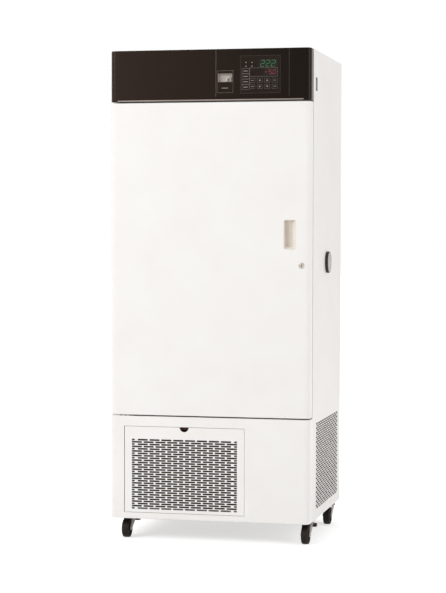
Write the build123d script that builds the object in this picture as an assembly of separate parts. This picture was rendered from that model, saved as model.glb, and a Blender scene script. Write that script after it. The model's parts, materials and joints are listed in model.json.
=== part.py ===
from build123d import *
import os

os.makedirs("parts", exist_ok=True)

# A tall cooled incubator: a white sheet steel cabinet with one foam-filled door,
# a black header that holds the controls, and the cooling machinery in the base.
# Millimetres. +X is to the right, the front faces -Y, Z = 0 is the floor,
# and the origin is under the middle of the cabinet.

# Overall size of the cabinet, without the casters
WIDTH = 710.0
DEPTH = 645.0

# How the front is divided, from the lower edge up
BASE_FRONT_HEIGHT = 360.0
GAP_UNDER_DOOR = 4.0
DOOR_HEIGHT = 1085.0
GAP_OVER_DOOR = 8.0
HEADER_HEIGHT = 174.0
CORNER_RADIUS = 20.0
EDGE_RADIUS = 2.5

# Sheets, walls and clearances
SHEET = 1.5
LINER_SHEET = 1.0
WALL = 55.0
CLEARANCE = 0.3
RUNNING_FIT = 0.05

# Chamber
DOOR_OVERLAP = 42.5
DUCT_DEPTH = 60.0

# Door
DOOR_THICKNESS = 45.0
DOOR_SHEET = 1.2
DOOR_PLUG_DEPTH = 15.0
DOOR_PLUG_MARGIN = 15.0
GASKET_WIDTH = 20.0
GASKET_DEPTH = 8.0
GASKET_INSET = 26.0
HINGE_INSET = 20.0
HINGE_PIN_RADIUS = 4.0
HINGE_PIN_LENGTH = 18.0
HINGE_BRACKET_LENGTH = 72.0
HINGE_BRACKET_THICKNESS = 3.0

# Recessed handle in the door
HANDLE_FROM_EDGE = 72.0
HANDLE_ABOVE_DOOR_EDGE = 630.0
HANDLE_WIDTH = 43.0
HANDLE_HEIGHT = 102.0
HANDLE_POCKET_DEPTH = 20.0
HANDLE_WALL = 3.0
HANDLE_RIM = 1.0
HANDLE_SIDE_RAMP = 16.0
HANDLE_LOWER_RAMP = 7.0
HANDLE_UPPER_RAMP = 4.0
HANDLE_LEFT_RAMP = 1.0

# Lock in the door
LOCK_FROM_EDGE = 30.5
LOCK_ABOVE_DOOR_EDGE = 524.5
LOCK_CORE_RADIUS = 7.0
LOCK_BARREL_WALL = 2.5
LOCK_ROSE_RIM = 1.0
LOCK_LENGTH = 29.0
LOCK_CAM_REACH = 16.0
LOCK_CAM_WIDTH = 11.0
LOCK_CAM_THICKNESS = 3.0
LOCK_CAM_ROOM = 4.0
KEYWAY_HEIGHT = 9.0

# Header
TRIM_HEIGHT = 9.0
TRIM_DEPTH = 7.0
TRIM_END_MARGIN = 32.0
TRIM_TAPER = 24.0
TRIM_TIP = 1.0
CONTROL_FROM_RIGHT = 75.0
CONTROL_WIDTH = 258.0
CONTROL_SHEET = 2.0
BREAKER_FROM_CONTROL_LEFT = 33.8
BREAKER_ABOVE_HEADER_EDGE = 61.2
BREAKER_WIDTH = 58.0
BREAKER_HEIGHT = 77.6
BREAKER_BEZEL = 1.5
BREAKER_BEZEL_OVERLAP = 3.0
BREAKER_BODY_DEPTH = 45.0
BREAKER_WINDOW_MARGIN = 4.0
BREAKER_WINDOW_HEIGHT = 29.0
BREAKER_WINDOW_RISE = 13.6
BREAKER_WINDOW_DEPTH = 9.0
LEVER_WIDTH = 9.0
LEVER_FROM_WINDOW_EDGE = 13.0
LEVER_EAR = 5.0
LEVER_THROW = 25.0
LEVER_PIN_RADIUS = 1.5
KEY_COLUMNS = 4
KEY_ROWS = 2
KEY_WIDTH = 20.0
KEY_HEIGHT = 16.5
KEY_GAP = 6.0
KEY_ROW_GAP = 4.3
KEY_LAST_FROM_CONTROL_RIGHT = 51.0
KEY_FIRST_ABOVE_HEADER_EDGE = 64.3
KEY_PROUD = 0.8
KEY_BODY_DEPTH = 6.0
KEY_FLANGE = 1.2

# Machine compartment grille, a pressed panel with slots laid like brickwork
GRILLE_FROM_LEFT = 53.95
GRILLE_ABOVE_SKIRT = 23.0
GRILLE_BELOW_BASE_TOP = 36.5
GRILLE_WIDTH = 427.5
GRILLE_GAP = 1.5
GRILLE_SHEET = 1.2
GRILLE_SEAT_DEPTH = 14.0
GRILLE_SEAT_LIP = 10.0
GRILLE_NOTCH_RADIUS = 16.0
GRILLE_PLAIN_BELOW = 11.7
GRILLE_PLAIN_ABOVE = 43.5
GRILLE_PLAIN_SIDE = 25.0

# One slot punch for the grille and for the vents of the cabinet
SLOT_LENGTH = 36.5
SLOT_HEIGHT = 5.0
SLOT_GAP = 6.0
SLOT_ROW_GAP = 3.0
SLOT_END_LENGTH = 10.5
VENT_BEHIND_FRONT = 128.0
VENT_PLAIN_BACK = 50.0
VENT_ABOVE_SKIRT = 35.0
VENT_PLAIN_ABOVE = 24.0
BACK_VENT_COLUMNS = 9
BACK_VENT_ROWS = 15
BACK_VENT_ABOVE_SKIRT = 108.0

# Things on the right side
PORT_FROM_BACK = 310.7
PORT_ABOVE_DOOR_EDGE = 532.0
PORT_BORE_RADIUS = 26.0
PORT_SLEEVE_WALL = 2.0
PORT_CAP_OVERLAP = 9.5
PORT_COLLAR_RIM = 3.0
PORT_COLLAR_HEIGHT = 11.0
PORT_CAP_DEPTH = 5.0
TERMINAL_BEHIND_FRONT = 109.0
TERMINAL_ABOVE_HEADER_EDGE = 57.0
TERMINAL_WIDTH = 24.0
TERMINAL_HEIGHT = 46.0
TERMINAL_PROUD = 1.2

# Inside the chamber
UPRIGHT_WIDTH = 18.0
UPRIGHT_DEPTH = 6.0
UPRIGHT_SHEET = 1.2
UPRIGHT_FRONT_INSET = 75.0
UPRIGHT_BACK_INSET = 85.0
UPRIGHT_END_MARGIN = 30.0
UPRIGHT_SLOTS = 12
UPRIGHT_SLOT_WIDTH = 9.0
UPRIGHT_SLOT_HEIGHT = 4.0
SHELF_COUNT = 3
SHELF_FRAME_RADIUS = 3.5
SHELF_WIRE_RADIUS = 1.75
SHELF_WIRES = 13
SHELF_SIDE_GAP = 9.0
SHELF_END_GAP = 20.0
CLIP_WIDTH = 14.0
CLIP_HEIGHT = 14.0
CLIP_SHELF = 12.0
CLIP_SHEET = 2.0

# Air system behind the duct panel
DUCT_SLOT_LENGTH = 60.0
DUCT_SLOT_HEIGHT = 8.0
DUCT_SLOT_GAP = 20.0
DUCT_OUTLET_MARGIN = 60.0
DUCT_OUTLET_ABOVE_FLOOR = 60.0
DUCT_OUTLET_ROWS = 3
DUCT_INLET_COLUMNS = 3
DUCT_INLET_ROWS = 9
FAN_BELOW_CEILING = 170.0
FAN_RADIUS = 85.0
FAN_HUB_RADIUS = 24.0
FAN_BLADES = 5
FAN_THICKNESS = 18.0
BLADE_SHEET = 1.5
BLADE_ROOT_ANGLE = 50.0
BLADE_TIP_ANGLE = 72.0
BLADE_ROOT_CHORD_RATIO = 1.1
BLADE_TIP_CHORD_RATIO = 0.62
MOTOR_RADIUS = 45.0
MOTOR_LENGTH = 28.0
SHAFT_RADIUS = 4.0
EVAPORATOR_SIDE_GAP = 80.0
EVAPORATOR_HEIGHT = 190.0
EVAPORATOR_BELOW_CEILING = 330.0
EVAPORATOR_FIN_PITCH = 20.0
FIN_SHEET = 1.5
COIL_BENDS = 4
COIL_TUBE_RADIUS = 4.0
HEATER_RADIUS = 4.0
HEATER_SIDE_GAP = 130.0
HEATER_BELOW_CEILING = 285.0
HEATER_BEND_RADIUS = 15.0

# Machinery in the base
PAN_ABOVE_SKIRT = 14.0
PAN_SHEET = 2.0
PAN_FLANGE = 20.0
CONDENSER_FROM_LEFT = 63.0
CONDENSER_NARROWER = 23.5
CONDENSER_HEADROOM = 35.5
CONDENSER_THICKNESS = 42.0
CONDENSER_BEHIND_FRONT = 30.0
CONDENSER_FIN_PITCH = 14.0
COOLING_FAN_MARGIN = 34.0
COOLING_FAN_HUB_RADIUS = 34.0
COOLING_FAN_THICKNESS = 26.0
SHROUD_DEPTH = 66.0
SHROUD_SHEET = 2.0
SHROUD_STRAP_WIDTH = 60.0
FAN_AIR_GAP = 3.0
COMPRESSOR_FROM_RIGHT = 140.0
COMPRESSOR_FROM_BACK = 227.5
COMPRESSOR_RADIUS = 82.0
COMPRESSOR_HEIGHT = 205.0
COMPRESSOR_DOME = 38.0
COMPRESSOR_PLATE = 3.0
COMPRESSOR_FOOT_SPACING = 150.0
COMPRESSOR_FOOT_RADIUS = 13.0
COMPRESSOR_FOOT_HEIGHT = 16.0
COMPRESSOR_STUB_LENGTH = 28.0
GLAND_FROM_RIGHT = 115.0
GLAND_ABOVE_SKIRT = 90.0
GLAND_RADIUS = 12.0
GLAND_LENGTH = 9.0
GLAND_NOSE_RADIUS = 9.0
GLAND_BORE_RADIUS = 4.8

# Screws in the back panel
SCREW_RADIUS = 4.5
SCREW_HEAD = 1.8
SCREW_FROM_EDGE = 14.0
SCREWS_PER_SIDE = 5

# Casters
CASTER_FROM_LEFT = 49.0
CASTER_FROM_RIGHT = 21.0
CASTER_FRONT_INSET = 83.0
CASTER_BACK_INSET = 111.0
CASTER_TRAIL = 34.0
WHEEL_RADIUS = 32.5
WHEEL_WIDTH = 22.0
WHEEL_SHOULDER = 4.0
WHEEL_HUB_RADIUS = 10.0
WHEEL_RECESS = 3.0
AXLE_RADIUS = 4.0
FORK_GAP = 2.0
FORK_SHEET = 2.5
FORK_FOOT_RADIUS = 8.5
CROWN_RADIUS = 24.0
CROWN_ABOVE_WHEEL = 2.0
CROWN_SHEET = 4.0
NECK_RADIUS = 13.0
NECK_HEIGHT = 12.7
KINGPIN_RADIUS = 5.0
KINGPIN_HEAD_RADIUS = 8.0
KINGPIN_HEAD = 2.2
RACE_RADIUS = 16.0
RACE_HEIGHT = 4.0
PEDAL_PIVOT_BACK = 19.0
PEDAL_PIVOT_DROP = 8.0
PEDAL_PIN_RADIUS = 2.0
PEDAL_HUB_RADIUS = 5.0
PEDAL_LENGTH = 46.0
PEDAL_WIDTH = 48.0
PEDAL_PAD_LENGTH = 24.0
PEDAL_THICKNESS = 14.0
PEDAL_DROP = 6.0

# Places that follow from the sizes
FRONT = -DEPTH / 2
BACK = DEPTH / 2
SIDE = WIDTH / 2
AXLE_Z = WHEEL_RADIUS
CROWN_LOW = 2 * WHEEL_RADIUS + CROWN_ABOVE_WHEEL
CROWN_TOP = CROWN_LOW + CROWN_SHEET
NECK_TOP = CROWN_TOP + NECK_HEIGHT
RACE_LOW = NECK_TOP + CLEARANCE
PAN_LOW = RACE_LOW + RACE_HEIGHT
PAN_TOP = PAN_LOW + PAN_SHEET
BOTTOM = PAN_LOW - PAN_ABOVE_SKIRT
BASE_TOP = BOTTOM + BASE_FRONT_HEIGHT
DOOR_BOTTOM = BASE_TOP + GAP_UNDER_DOOR
DOOR_TOP = DOOR_BOTTOM + DOOR_HEIGHT
HEADER_BOTTOM = DOOR_TOP + GAP_OVER_DOOR
TOP = HEADER_BOTTOM + HEADER_HEIGHT
DOOR_BACK = FRONT + DOOR_THICKNESS
CARCASS_FRONT = DOOR_BACK + GASKET_DEPTH
INNER_SIDE = SIDE - SHEET
CHAMBER_SIDE = SIDE - WALL
CHAMBER_FLOOR = DOOR_BOTTOM + DOOR_OVERLAP
CHAMBER_CEILING = DOOR_TOP - DOOR_OVERLAP
DUCT_BACK = BACK - WALL
DUCT_FRONT = DUCT_BACK - DUCT_DEPTH
FOAM_BOTTOM = CHAMBER_FLOOR - WALL
FOAM_TOP = CHAMBER_CEILING + WALL
HINGE_X = -SIDE + HINGE_INSET
HINGE_Y = FRONT + HINGE_INSET
LOCK_X = SIDE - LOCK_FROM_EDGE
LOCK_Z = DOOR_BOTTOM + LOCK_ABOVE_DOOR_EDGE
LOCK_BARREL_RADIUS = LOCK_CORE_RADIUS + LOCK_BARREL_WALL
HANDLE_X = SIDE - HANDLE_FROM_EDGE
HANDLE_Z = DOOR_BOTTOM + HANDLE_ABOVE_DOOR_EDGE
TRIM_LENGTH = WIDTH - 2 * TRIM_END_MARGIN
CONTROL_RIGHT = SIDE - CONTROL_FROM_RIGHT
CONTROL_LEFT = CONTROL_RIGHT - CONTROL_WIDTH
BREAKER_X = CONTROL_LEFT + BREAKER_FROM_CONTROL_LEFT
BREAKER_Z = HEADER_BOTTOM + BREAKER_ABOVE_HEADER_EDGE
BREAKER_WINDOW_WIDTH = BREAKER_WIDTH - 2 * BREAKER_WINDOW_MARGIN
WINDOW_Z = BREAKER_Z + BREAKER_WINDOW_RISE
LEVER_X = BREAKER_X + BREAKER_WINDOW_WIDTH / 2 - LEVER_FROM_WINDOW_EDGE
PORT_Y = BACK - PORT_FROM_BACK
PORT_Z = DOOR_BOTTOM + PORT_ABOVE_DOOR_EDGE
PORT_SLEEVE_RADIUS = PORT_BORE_RADIUS + PORT_SLEEVE_WALL
PORT_CAP_RADIUS = PORT_BORE_RADIUS + PORT_CAP_OVERLAP
PORT_COLLAR_RADIUS = PORT_CAP_RADIUS + PORT_COLLAR_RIM
TERMINAL_Y = FRONT + TERMINAL_BEHIND_FRONT
TERMINAL_Z = HEADER_BOTTOM + TERMINAL_ABOVE_HEADER_EDGE
FAN_Z = CHAMBER_CEILING - FAN_BELOW_CEILING
GRILLE_X = -SIDE + GRILLE_FROM_LEFT + GRILLE_WIDTH / 2
CONDENSER_LEFT = -SIDE + CONDENSER_FROM_LEFT
CONDENSER_WIDTH = GRILLE_WIDTH - CONDENSER_NARROWER
CONDENSER_BACK = FRONT + CONDENSER_BEHIND_FRONT + CONDENSER_THICKNESS
CONDENSER_TOP = FOAM_BOTTOM - CONDENSER_HEADROOM
COOLING_FAN_X = CONDENSER_LEFT + CONDENSER_WIDTH / 2
COOLING_FAN_Z = (PAN_TOP + CONDENSER_TOP) / 2
COOLING_FAN_RADIUS = (CONDENSER_TOP - PAN_TOP) / 2 - COOLING_FAN_MARGIN
COMPRESSOR_X = SIDE - COMPRESSOR_FROM_RIGHT
COMPRESSOR_Y = BACK - COMPRESSOR_FROM_BACK
GLAND_X = SIDE - GLAND_FROM_RIGHT
SLOT = (SLOT_LENGTH, SLOT_HEIGHT)
SLOT_PITCH = (SLOT_LENGTH + SLOT_GAP, SLOT_HEIGHT + SLOT_ROW_GAP)


def block(xs, ys, zs):
    """A box between two corners, given as three pairs."""
    middle = [(low + high) / 2 for low, high in (xs, ys, zs)]
    size = [high - low for low, high in (xs, ys, zs)]
    return Pos(*middle) * Box(*size)


def rod_x(xs, y, z, radius):
    """A round bar along X."""
    return Pos(sum(xs) / 2, y, z) * Rot(0, 90, 0) * Cylinder(radius, xs[1] - xs[0])


def rod_y(x, ys, z, radius):
    """A round bar along Y."""
    return Pos(x, sum(ys) / 2, z) * Rot(90, 0, 0) * Cylinder(radius, ys[1] - ys[0])


def rod_z(x, y, zs, radius):
    """A round bar along Z."""
    return Pos(x, y, sum(zs) / 2) * Cylinder(radius, zs[1] - zs[0])


def around(centre, size):
    """The pair of ends of a length about its middle."""
    return (centre - size / 2, centre + size / 2)


def grown(pair, amount):
    """A pair of ends moved apart by an amount at each end."""
    return (pair[0] - amount, pair[1] + amount)


def upright_plane(y):
    """A plane across the cabinet, whose own axes are X and Z."""
    return Plane(origin=(0, y, 0), x_dir=(1, 0, 0), z_dir=(0, -1, 0))


def side_plane(x):
    """A plane along the cabinet's side, whose own axes are Y and Z."""
    return Plane(origin=(x, 0, 0), x_dir=(0, 1, 0), z_dir=(1, 0, 0))


def rectangle_wire(plane, us, vs):
    """A closed rectangle on a plane."""
    corners = [(us[0], vs[0]), (us[1], vs[0]), (us[1], vs[1]), (us[0], vs[1])]
    points = [plane.from_local_coords((u, v, 0)) for u, v in corners]
    return Wire.make_polygon(points, close=True)


def circle_wire(plane, u, v, radius):
    """A closed circle on a plane."""
    centre = plane.from_local_coords((u, v, 0))
    return Wire([Edge.make_circle(radius, Plane(centre, z_dir=plane.z_dir))])


def pierced_sheet(plane, us, vs, holes, thickness, direction):
    """A flat sheet with holes, thickened to one side of its plane."""
    face = Face(rectangle_wire(plane, us, vs), holes)
    return extrude(face, amount=thickness, dir=direction)


def fit_count(room, size, pitch):
    """How many copies of one size fit into a room, a pitch apart."""
    return int((room - size) // pitch) + 1


def brickwork(plane, left, bottom, columns, rows, slot, pitch, end_length=0.0):
    """Rows of slots laid like brickwork. Every second row is moved by half a pitch,
    and has room at its ends for a short slot."""
    length, height = slot
    pitch_u, pitch_v = pitch
    right = left + (columns - 1) * pitch_u + length
    wires = []
    for row in range(rows):
        low = bottom + row * pitch_v
        full = row % 2 == 1
        start = left if full else left + pitch_u / 2
        for column in range(columns if full else columns - 1):
            u = start + column * pitch_u
            wires.append(rectangle_wire(plane, (u, u + length), (low, low + height)))
        if end_length and not full:
            for u in (left, right - end_length):
                wires.append(rectangle_wire(plane, (u, u + end_length), (low, low + height)))
    return wires


def front_prism(half_width, y_front, y_back, radius, zs, edge_radius=0.0, edges_at=(0, 1)):
    """An upright block with its two front corners rounded, and the edges of its lower
    and upper end too if asked."""
    plan = Pos(0, (y_front + y_back) / 2) * Rectangle(2 * half_width, y_back - y_front)
    plan = fillet(plan.vertices().sort_by(Axis.Y)[:2], radius)
    prism = Pos(0, 0, zs[0]) * extrude(plan, amount=zs[1] - zs[0])
    if edge_radius:
        ends = prism.faces().sort_by(Axis.Z)
        bent = []
        for end in edges_at:
            loop = ends[-end].edges()
            bent += [edge for edge in loop if edge.center().Y < y_back - CLEARANCE]
        prism = fillet(bent, edge_radius)
    return prism


def wrapped_front(zs, sheet, floor, roof):
    """A front of bent sheet: face, rounded corners and short sides, open behind. An end
    that is closed is bent round a small radius."""
    edges_at = [end for end, closed in ((0, floor), (1, roof)) if closed]
    inside = (zs[0] + (sheet if floor else 0), zs[1] - (sheet if roof else 0))
    shell = front_prism(SIDE, FRONT, CARCASS_FRONT, CORNER_RADIUS, zs, EDGE_RADIUS, edges_at)
    hollow = front_prism(
        SIDE - sheet, FRONT + sheet, CARCASS_FRONT, CORNER_RADIUS - sheet, inside,
        EDGE_RADIUS - sheet, edges_at,
    )
    return shell - hollow


def group(solids):
    """Separate solids that share one node."""
    return Compound(children=list(solids))


def finned_coil(xs, ys, zs, fin_pitch):
    """A block of upright fins, open to the front, with the tube's bends at its right end."""
    spine = (ys[1] - ys[0]) / 2
    points = [(xs[0], ys[1]), (xs[0], ys[0])]
    for fin in range(int((xs[1] - xs[0] - FIN_SHEET) // fin_pitch)):
        edge = xs[0] + fin * fin_pitch
        points += [(edge + FIN_SHEET, ys[0]), (edge + FIN_SHEET, ys[1] - spine)]
        points += [(edge + fin_pitch, ys[1] - spine), (edge + fin_pitch, ys[0])]
    points += [(xs[1], ys[0]), (xs[1], ys[1])]
    profile = make_face(Polyline(*points, close=True))
    coil = Pos(0, 0, zs[0]) * extrude(profile, amount=zs[1] - zs[0])
    tube_y = ys[1] - spine / 2
    pitch = (zs[1] - zs[0]) / (2 * COIL_BENDS)
    tube = Plane((xs[1], tube_y, zs[0] + pitch / 2), z_dir=(1, 0, 0)) * Circle(COIL_TUBE_RADIUS)
    bend = revolve(tube, Axis((xs[1], tube_y, zs[0] + pitch), (0, 1, 0)), -180)
    for number in range(COIL_BENDS):
        coil += Pos(0, 0, 2 * number * pitch) * bend
    return coil


def impeller(centre, y_front, thickness, radius, hub_radius, blades, bore):
    """An axial fan: a hub and pitched blades that widen towards their tips."""
    x, z = centre
    middle = y_front + thickness / 2
    wheel = rod_y(x, (y_front, y_front + thickness), z, hub_radius)
    root = Rectangle(hub_radius * BLADE_ROOT_CHORD_RATIO, BLADE_SHEET)
    tip = Rectangle(radius * BLADE_TIP_CHORD_RATIO, BLADE_SHEET)
    low = Plane((0, 0, hub_radius - BLADE_SHEET), x_dir=(0, 1, 0), z_dir=(0, 0, 1))
    high = Plane((0, 0, radius), x_dir=(0, 1, 0), z_dir=(0, 0, 1))
    sections = [
        (low * Rot(0, 0, BLADE_ROOT_ANGLE) * root).face(),
        (high * Rot(0, 0, BLADE_TIP_ANGLE) * tip).face(),
    ]
    swept = rod_y(0, around(0, thickness), 0, radius)
    blade = loft(sections) & swept
    for number in range(blades):
        angle = 360 * number / blades
        wheel += Pos(x, middle, z) * Rot(0, angle, 0) * blade
    return wheel - rod_y(x, (y_front, y_front + thickness), z, bore)


def side_panel(sign):
    """One outer side with its machine vents. The right one also has the port's hole
    and the terminal's hole."""
    plane = side_plane(sign * SIDE)
    length = DEPTH - VENT_BEHIND_FRONT - VENT_PLAIN_BACK
    height = BASE_FRONT_HEIGHT - VENT_ABOVE_SKIRT - VENT_PLAIN_ABOVE
    holes = brickwork(
        plane, FRONT + VENT_BEHIND_FRONT, BOTTOM + VENT_ABOVE_SKIRT,
        fit_count(length, SLOT[0], SLOT_PITCH[0]), fit_count(height, SLOT[1], SLOT_PITCH[1]),
        SLOT, SLOT_PITCH, SLOT_END_LENGTH,
    )
    if sign > 0:
        holes.append(circle_wire(plane, PORT_Y, PORT_Z, PORT_SLEEVE_RADIUS + CLEARANCE))
        holes.append(
            rectangle_wire(
                plane,
                around(TERMINAL_Y, TERMINAL_WIDTH - 2 * SHEET),
                around(TERMINAL_Z, TERMINAL_HEIGHT - 2 * SHEET),
            )
        )
    return pierced_sheet(
        plane, (CARCASS_FRONT, BACK), (BOTTOM, TOP), holes, SHEET, (-sign, 0, 0)
    )


def top_panel():
    return block((-INNER_SIDE, INNER_SIDE), (CARCASS_FRONT, BACK - SHEET), (TOP - SHEET, TOP))


def back_panel():
    """The back, with a field of slots that lets the machine compartment breathe."""
    plane = upright_plane(BACK)
    slots = brickwork(
        plane, -INNER_SIDE + WALL, BOTTOM + BACK_VENT_ABOVE_SKIRT, BACK_VENT_COLUMNS,
        BACK_VENT_ROWS, SLOT, SLOT_PITCH, SLOT_END_LENGTH,
    )
    return pierced_sheet(
        plane, (-INNER_SIDE, INNER_SIDE), (BOTTOM, TOP), slots, SHEET, (0, -1, 0)
    )


GRILLE_XS = around(GRILLE_X, GRILLE_WIDTH)
GRILLE_ZS = (BOTTOM + GRILLE_ABOVE_SKIRT, BASE_TOP - GRILLE_BELOW_BASE_TOP)


def base_front_panel():
    """The base's front: bent sheet with a rebated opening that the grille drops into."""
    panel = wrapped_front((BOTTOM, BASE_TOP), SHEET, False, True)
    opening_xs = grown(GRILLE_XS, GRILLE_GAP)
    opening_zs = grown(GRILLE_ZS, GRILLE_GAP)
    seat_y = FRONT + GRILLE_SEAT_DEPTH
    panel += block(grown(opening_xs, SHEET), (FRONT, seat_y + SHEET), grown(opening_zs, SHEET))
    panel -= block(opening_xs, (FRONT, seat_y), opening_zs)
    panel -= block(
        grown(opening_xs, -GRILLE_SEAT_LIP),
        (seat_y, seat_y + SHEET),
        grown(opening_zs, -GRILLE_SEAT_LIP),
    )
    finger_room = GRILLE_NOTCH_RADIUS + GRILLE_GAP
    return panel - rod_y(
        GRILLE_X, (seat_y, seat_y + SHEET), GRILLE_ZS[1] + GRILLE_GAP, finger_room
    ) + block(
        around(GRILLE_X, 2 * finger_room),
        (seat_y, seat_y + SHEET),
        (opening_zs[1], opening_zs[1] + SHEET),
    )


def grille_panel():
    """The slotted panel, with returns bent back all round and a finger notch."""
    plane = upright_plane(FRONT)
    height = GRILLE_ZS[1] - GRILLE_ZS[0] - GRILLE_PLAIN_BELOW - GRILLE_PLAIN_ABOVE
    columns = fit_count(GRILLE_WIDTH - 2 * GRILLE_PLAIN_SIDE, SLOT[0], SLOT_PITCH[0])
    field_width = (columns - 1) * SLOT_PITCH[0] + SLOT[0]
    slots = brickwork(
        plane, GRILLE_X - field_width / 2, GRILLE_ZS[0] + GRILLE_PLAIN_BELOW,
        columns, fit_count(height, SLOT[1], SLOT_PITCH[1]), SLOT, SLOT_PITCH, SLOT_END_LENGTH,
    )
    panel = pierced_sheet(plane, GRILLE_XS, GRILLE_ZS, slots, GRILLE_SHEET, (0, 1, 0))
    back = FRONT + GRILLE_SEAT_DEPTH - CLEARANCE
    rim = block(GRILLE_XS, (FRONT + GRILLE_SHEET, back), GRILLE_ZS)
    rim -= block(
        grown(GRILLE_XS, -GRILLE_SHEET), (FRONT + GRILLE_SHEET, back),
        grown(GRILLE_ZS, -GRILLE_SHEET),
    )
    notch = rod_y(GRILLE_X, (FRONT, back), GRILLE_ZS[1], GRILLE_NOTCH_RADIUS)
    return panel + rim - notch


def base_pan():
    """The tray under the machinery, which the casters are screwed to."""
    ys = (FRONT + CORNER_RADIUS + SHEET, BACK - SHEET)
    tray = block((-INNER_SIDE, INNER_SIDE), ys, (PAN_LOW, PAN_TOP + PAN_FLANGE))
    return tray - block(
        (-INNER_SIDE + PAN_SHEET, INNER_SIDE - PAN_SHEET),
        grown(ys, -PAN_SHEET),
        (PAN_TOP, PAN_TOP + PAN_FLANGE),
    )


CONTROL_XS = (CONTROL_LEFT, CONTROL_RIGHT)
CONTROL_ZS = (HEADER_BOTTOM + TRIM_HEIGHT, TOP - SHEET)


def trim_outline(y, wall=0.0):
    """The strip's shape as seen from the front: a bar whose ends taper to a tip."""
    half = TRIM_LENGTH / 2 + wall
    top = HEADER_BOTTOM + TRIM_HEIGHT + wall
    return upright_plane(y) * make_face(
        Polyline(
            (-half, top), (-half, top - TRIM_TIP - wall), (-half + TRIM_TAPER, HEADER_BOTTOM),
            (half - TRIM_TAPER, HEADER_BOTTOM), (half, top - TRIM_TIP - wall), (half, top),
            close=True,
        )
    )


def header_cover():
    """The black header: bent round the corners, with a bay for the control panel and
    a rebate for the trim strip along its lower edge."""
    cover = wrapped_front((HEADER_BOTTOM, TOP), SHEET, True, True)
    cover += extrude(trim_outline(FRONT + SHEET, SHEET), amount=TRIM_DEPTH, dir=(0, 1, 0))
    cover -= extrude(trim_outline(FRONT), amount=TRIM_DEPTH, dir=(0, 1, 0))
    return cover - block(CONTROL_XS, (FRONT, FRONT + TRIM_DEPTH + SHEET), CONTROL_ZS)


def header_trim():
    """The strip along the header's lower edge, chamfered so that it faces down, with
    tapered ends."""
    section = Polyline(
        (FRONT, HEADER_BOTTOM + TRIM_HEIGHT),
        (FRONT + TRIM_DEPTH, HEADER_BOTTOM + TRIM_HEIGHT),
        (FRONT + TRIM_DEPTH, HEADER_BOTTOM),
        (FRONT + TRIM_DEPTH / 2, HEADER_BOTTOM),
        (FRONT, HEADER_BOTTOM + TRIM_HEIGHT / 2),
        close=True,
    )
    strip = extrude(side_plane(-TRIM_LENGTH / 2) * make_face(section), amount=TRIM_LENGTH)
    return strip & extrude(trim_outline(FRONT), amount=TRIM_DEPTH, dir=(0, 1, 0))


def key_places():
    """The centre of each key, row by row from the top."""
    right = CONTROL_RIGHT - KEY_LAST_FROM_CONTROL_RIGHT
    for row in range(KEY_ROWS):
        for column in range(KEY_COLUMNS):
            x = right - (KEY_COLUMNS - 1 - column) * (KEY_WIDTH + KEY_GAP)
            z = HEADER_BOTTOM + KEY_FIRST_ABOVE_HEADER_EDGE - row * (KEY_HEIGHT + KEY_ROW_GAP)
            yield x, z


BREAKER_BODY = (
    BREAKER_WIDTH - 2 * BREAKER_BEZEL_OVERLAP,
    BREAKER_HEIGHT - 2 * BREAKER_BEZEL_OVERLAP,
)


def control_panel():
    """The plate in the header's bay, with a hole for the breaker and for each key."""
    plane = upright_plane(FRONT)
    holes = [
        rectangle_wire(
            plane,
            around(BREAKER_X, BREAKER_BODY[0] + 2 * CLEARANCE),
            around(BREAKER_Z, BREAKER_BODY[1] + 2 * CLEARANCE),
        )
    ]
    for x, z in key_places():
        holes.append(
            rectangle_wire(
                plane,
                around(x, KEY_WIDTH + 2 * CLEARANCE),
                around(z, KEY_HEIGHT + 2 * CLEARANCE),
            )
        )
    return pierced_sheet(
        plane, grown(CONTROL_XS, -CLEARANCE), grown(CONTROL_ZS, -CLEARANCE),
        holes, CONTROL_SHEET, (0, 1, 0),
    )


def control_key(x, z):
    """One key: its cap stands proud of the panel, and a flange keeps it in."""
    cap = block(
        around(x, KEY_WIDTH), (FRONT - KEY_PROUD, FRONT + KEY_BODY_DEPTH), around(z, KEY_HEIGHT)
    )
    front = cap.faces().sort_by(Axis.Y)[0]
    cap = chamfer(front.edges(), KEY_PROUD / 2)
    flange_y = FRONT + CONTROL_SHEET + CLEARANCE
    return cap + block(
        around(x, KEY_WIDTH + 2 * KEY_FLANGE),
        (flange_y, FRONT + KEY_BODY_DEPTH),
        around(z, KEY_HEIGHT + 2 * KEY_FLANGE),
    )


LEVER_PIVOT_Y = FRONT + BREAKER_WINDOW_DEPTH / 2
LEVER_RADIUS = BREAKER_WINDOW_DEPTH / 2 - CLEARANCE


def breaker_body():
    """The breaker: a bezel on the panel, a body behind, and a window with the lever."""
    body = block(
        around(BREAKER_X, BREAKER_WIDTH),
        (FRONT - BREAKER_BEZEL, FRONT),
        around(BREAKER_Z, BREAKER_HEIGHT),
    )
    body += block(
        around(BREAKER_X, BREAKER_BODY[0]),
        (FRONT, FRONT + BREAKER_BODY_DEPTH),
        around(BREAKER_Z, BREAKER_BODY[1]),
    )
    body -= block(
        around(BREAKER_X, BREAKER_WINDOW_WIDTH),
        (FRONT - BREAKER_BEZEL, FRONT + BREAKER_WINDOW_DEPTH),
        around(WINDOW_Z, BREAKER_WINDOW_HEIGHT),
    )
    pin = around(LEVER_X, LEVER_WIDTH + 2 * LEVER_EAR)
    for end in (0, 1):
        edge = LEVER_X + (end - 0.5) * (LEVER_WIDTH + 2 * CLEARANCE)
        ear = (pin[0], edge) if end == 0 else (edge, pin[1])
        body += block(
            ear,
            (LEVER_PIVOT_Y - LEVER_RADIUS, FRONT + BREAKER_WINDOW_DEPTH),
            around(WINDOW_Z, 2 * LEVER_RADIUS),
        )
    return body + rod_x(pin, LEVER_PIVOT_Y, WINDOW_Z, LEVER_PIN_RADIUS)


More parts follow.
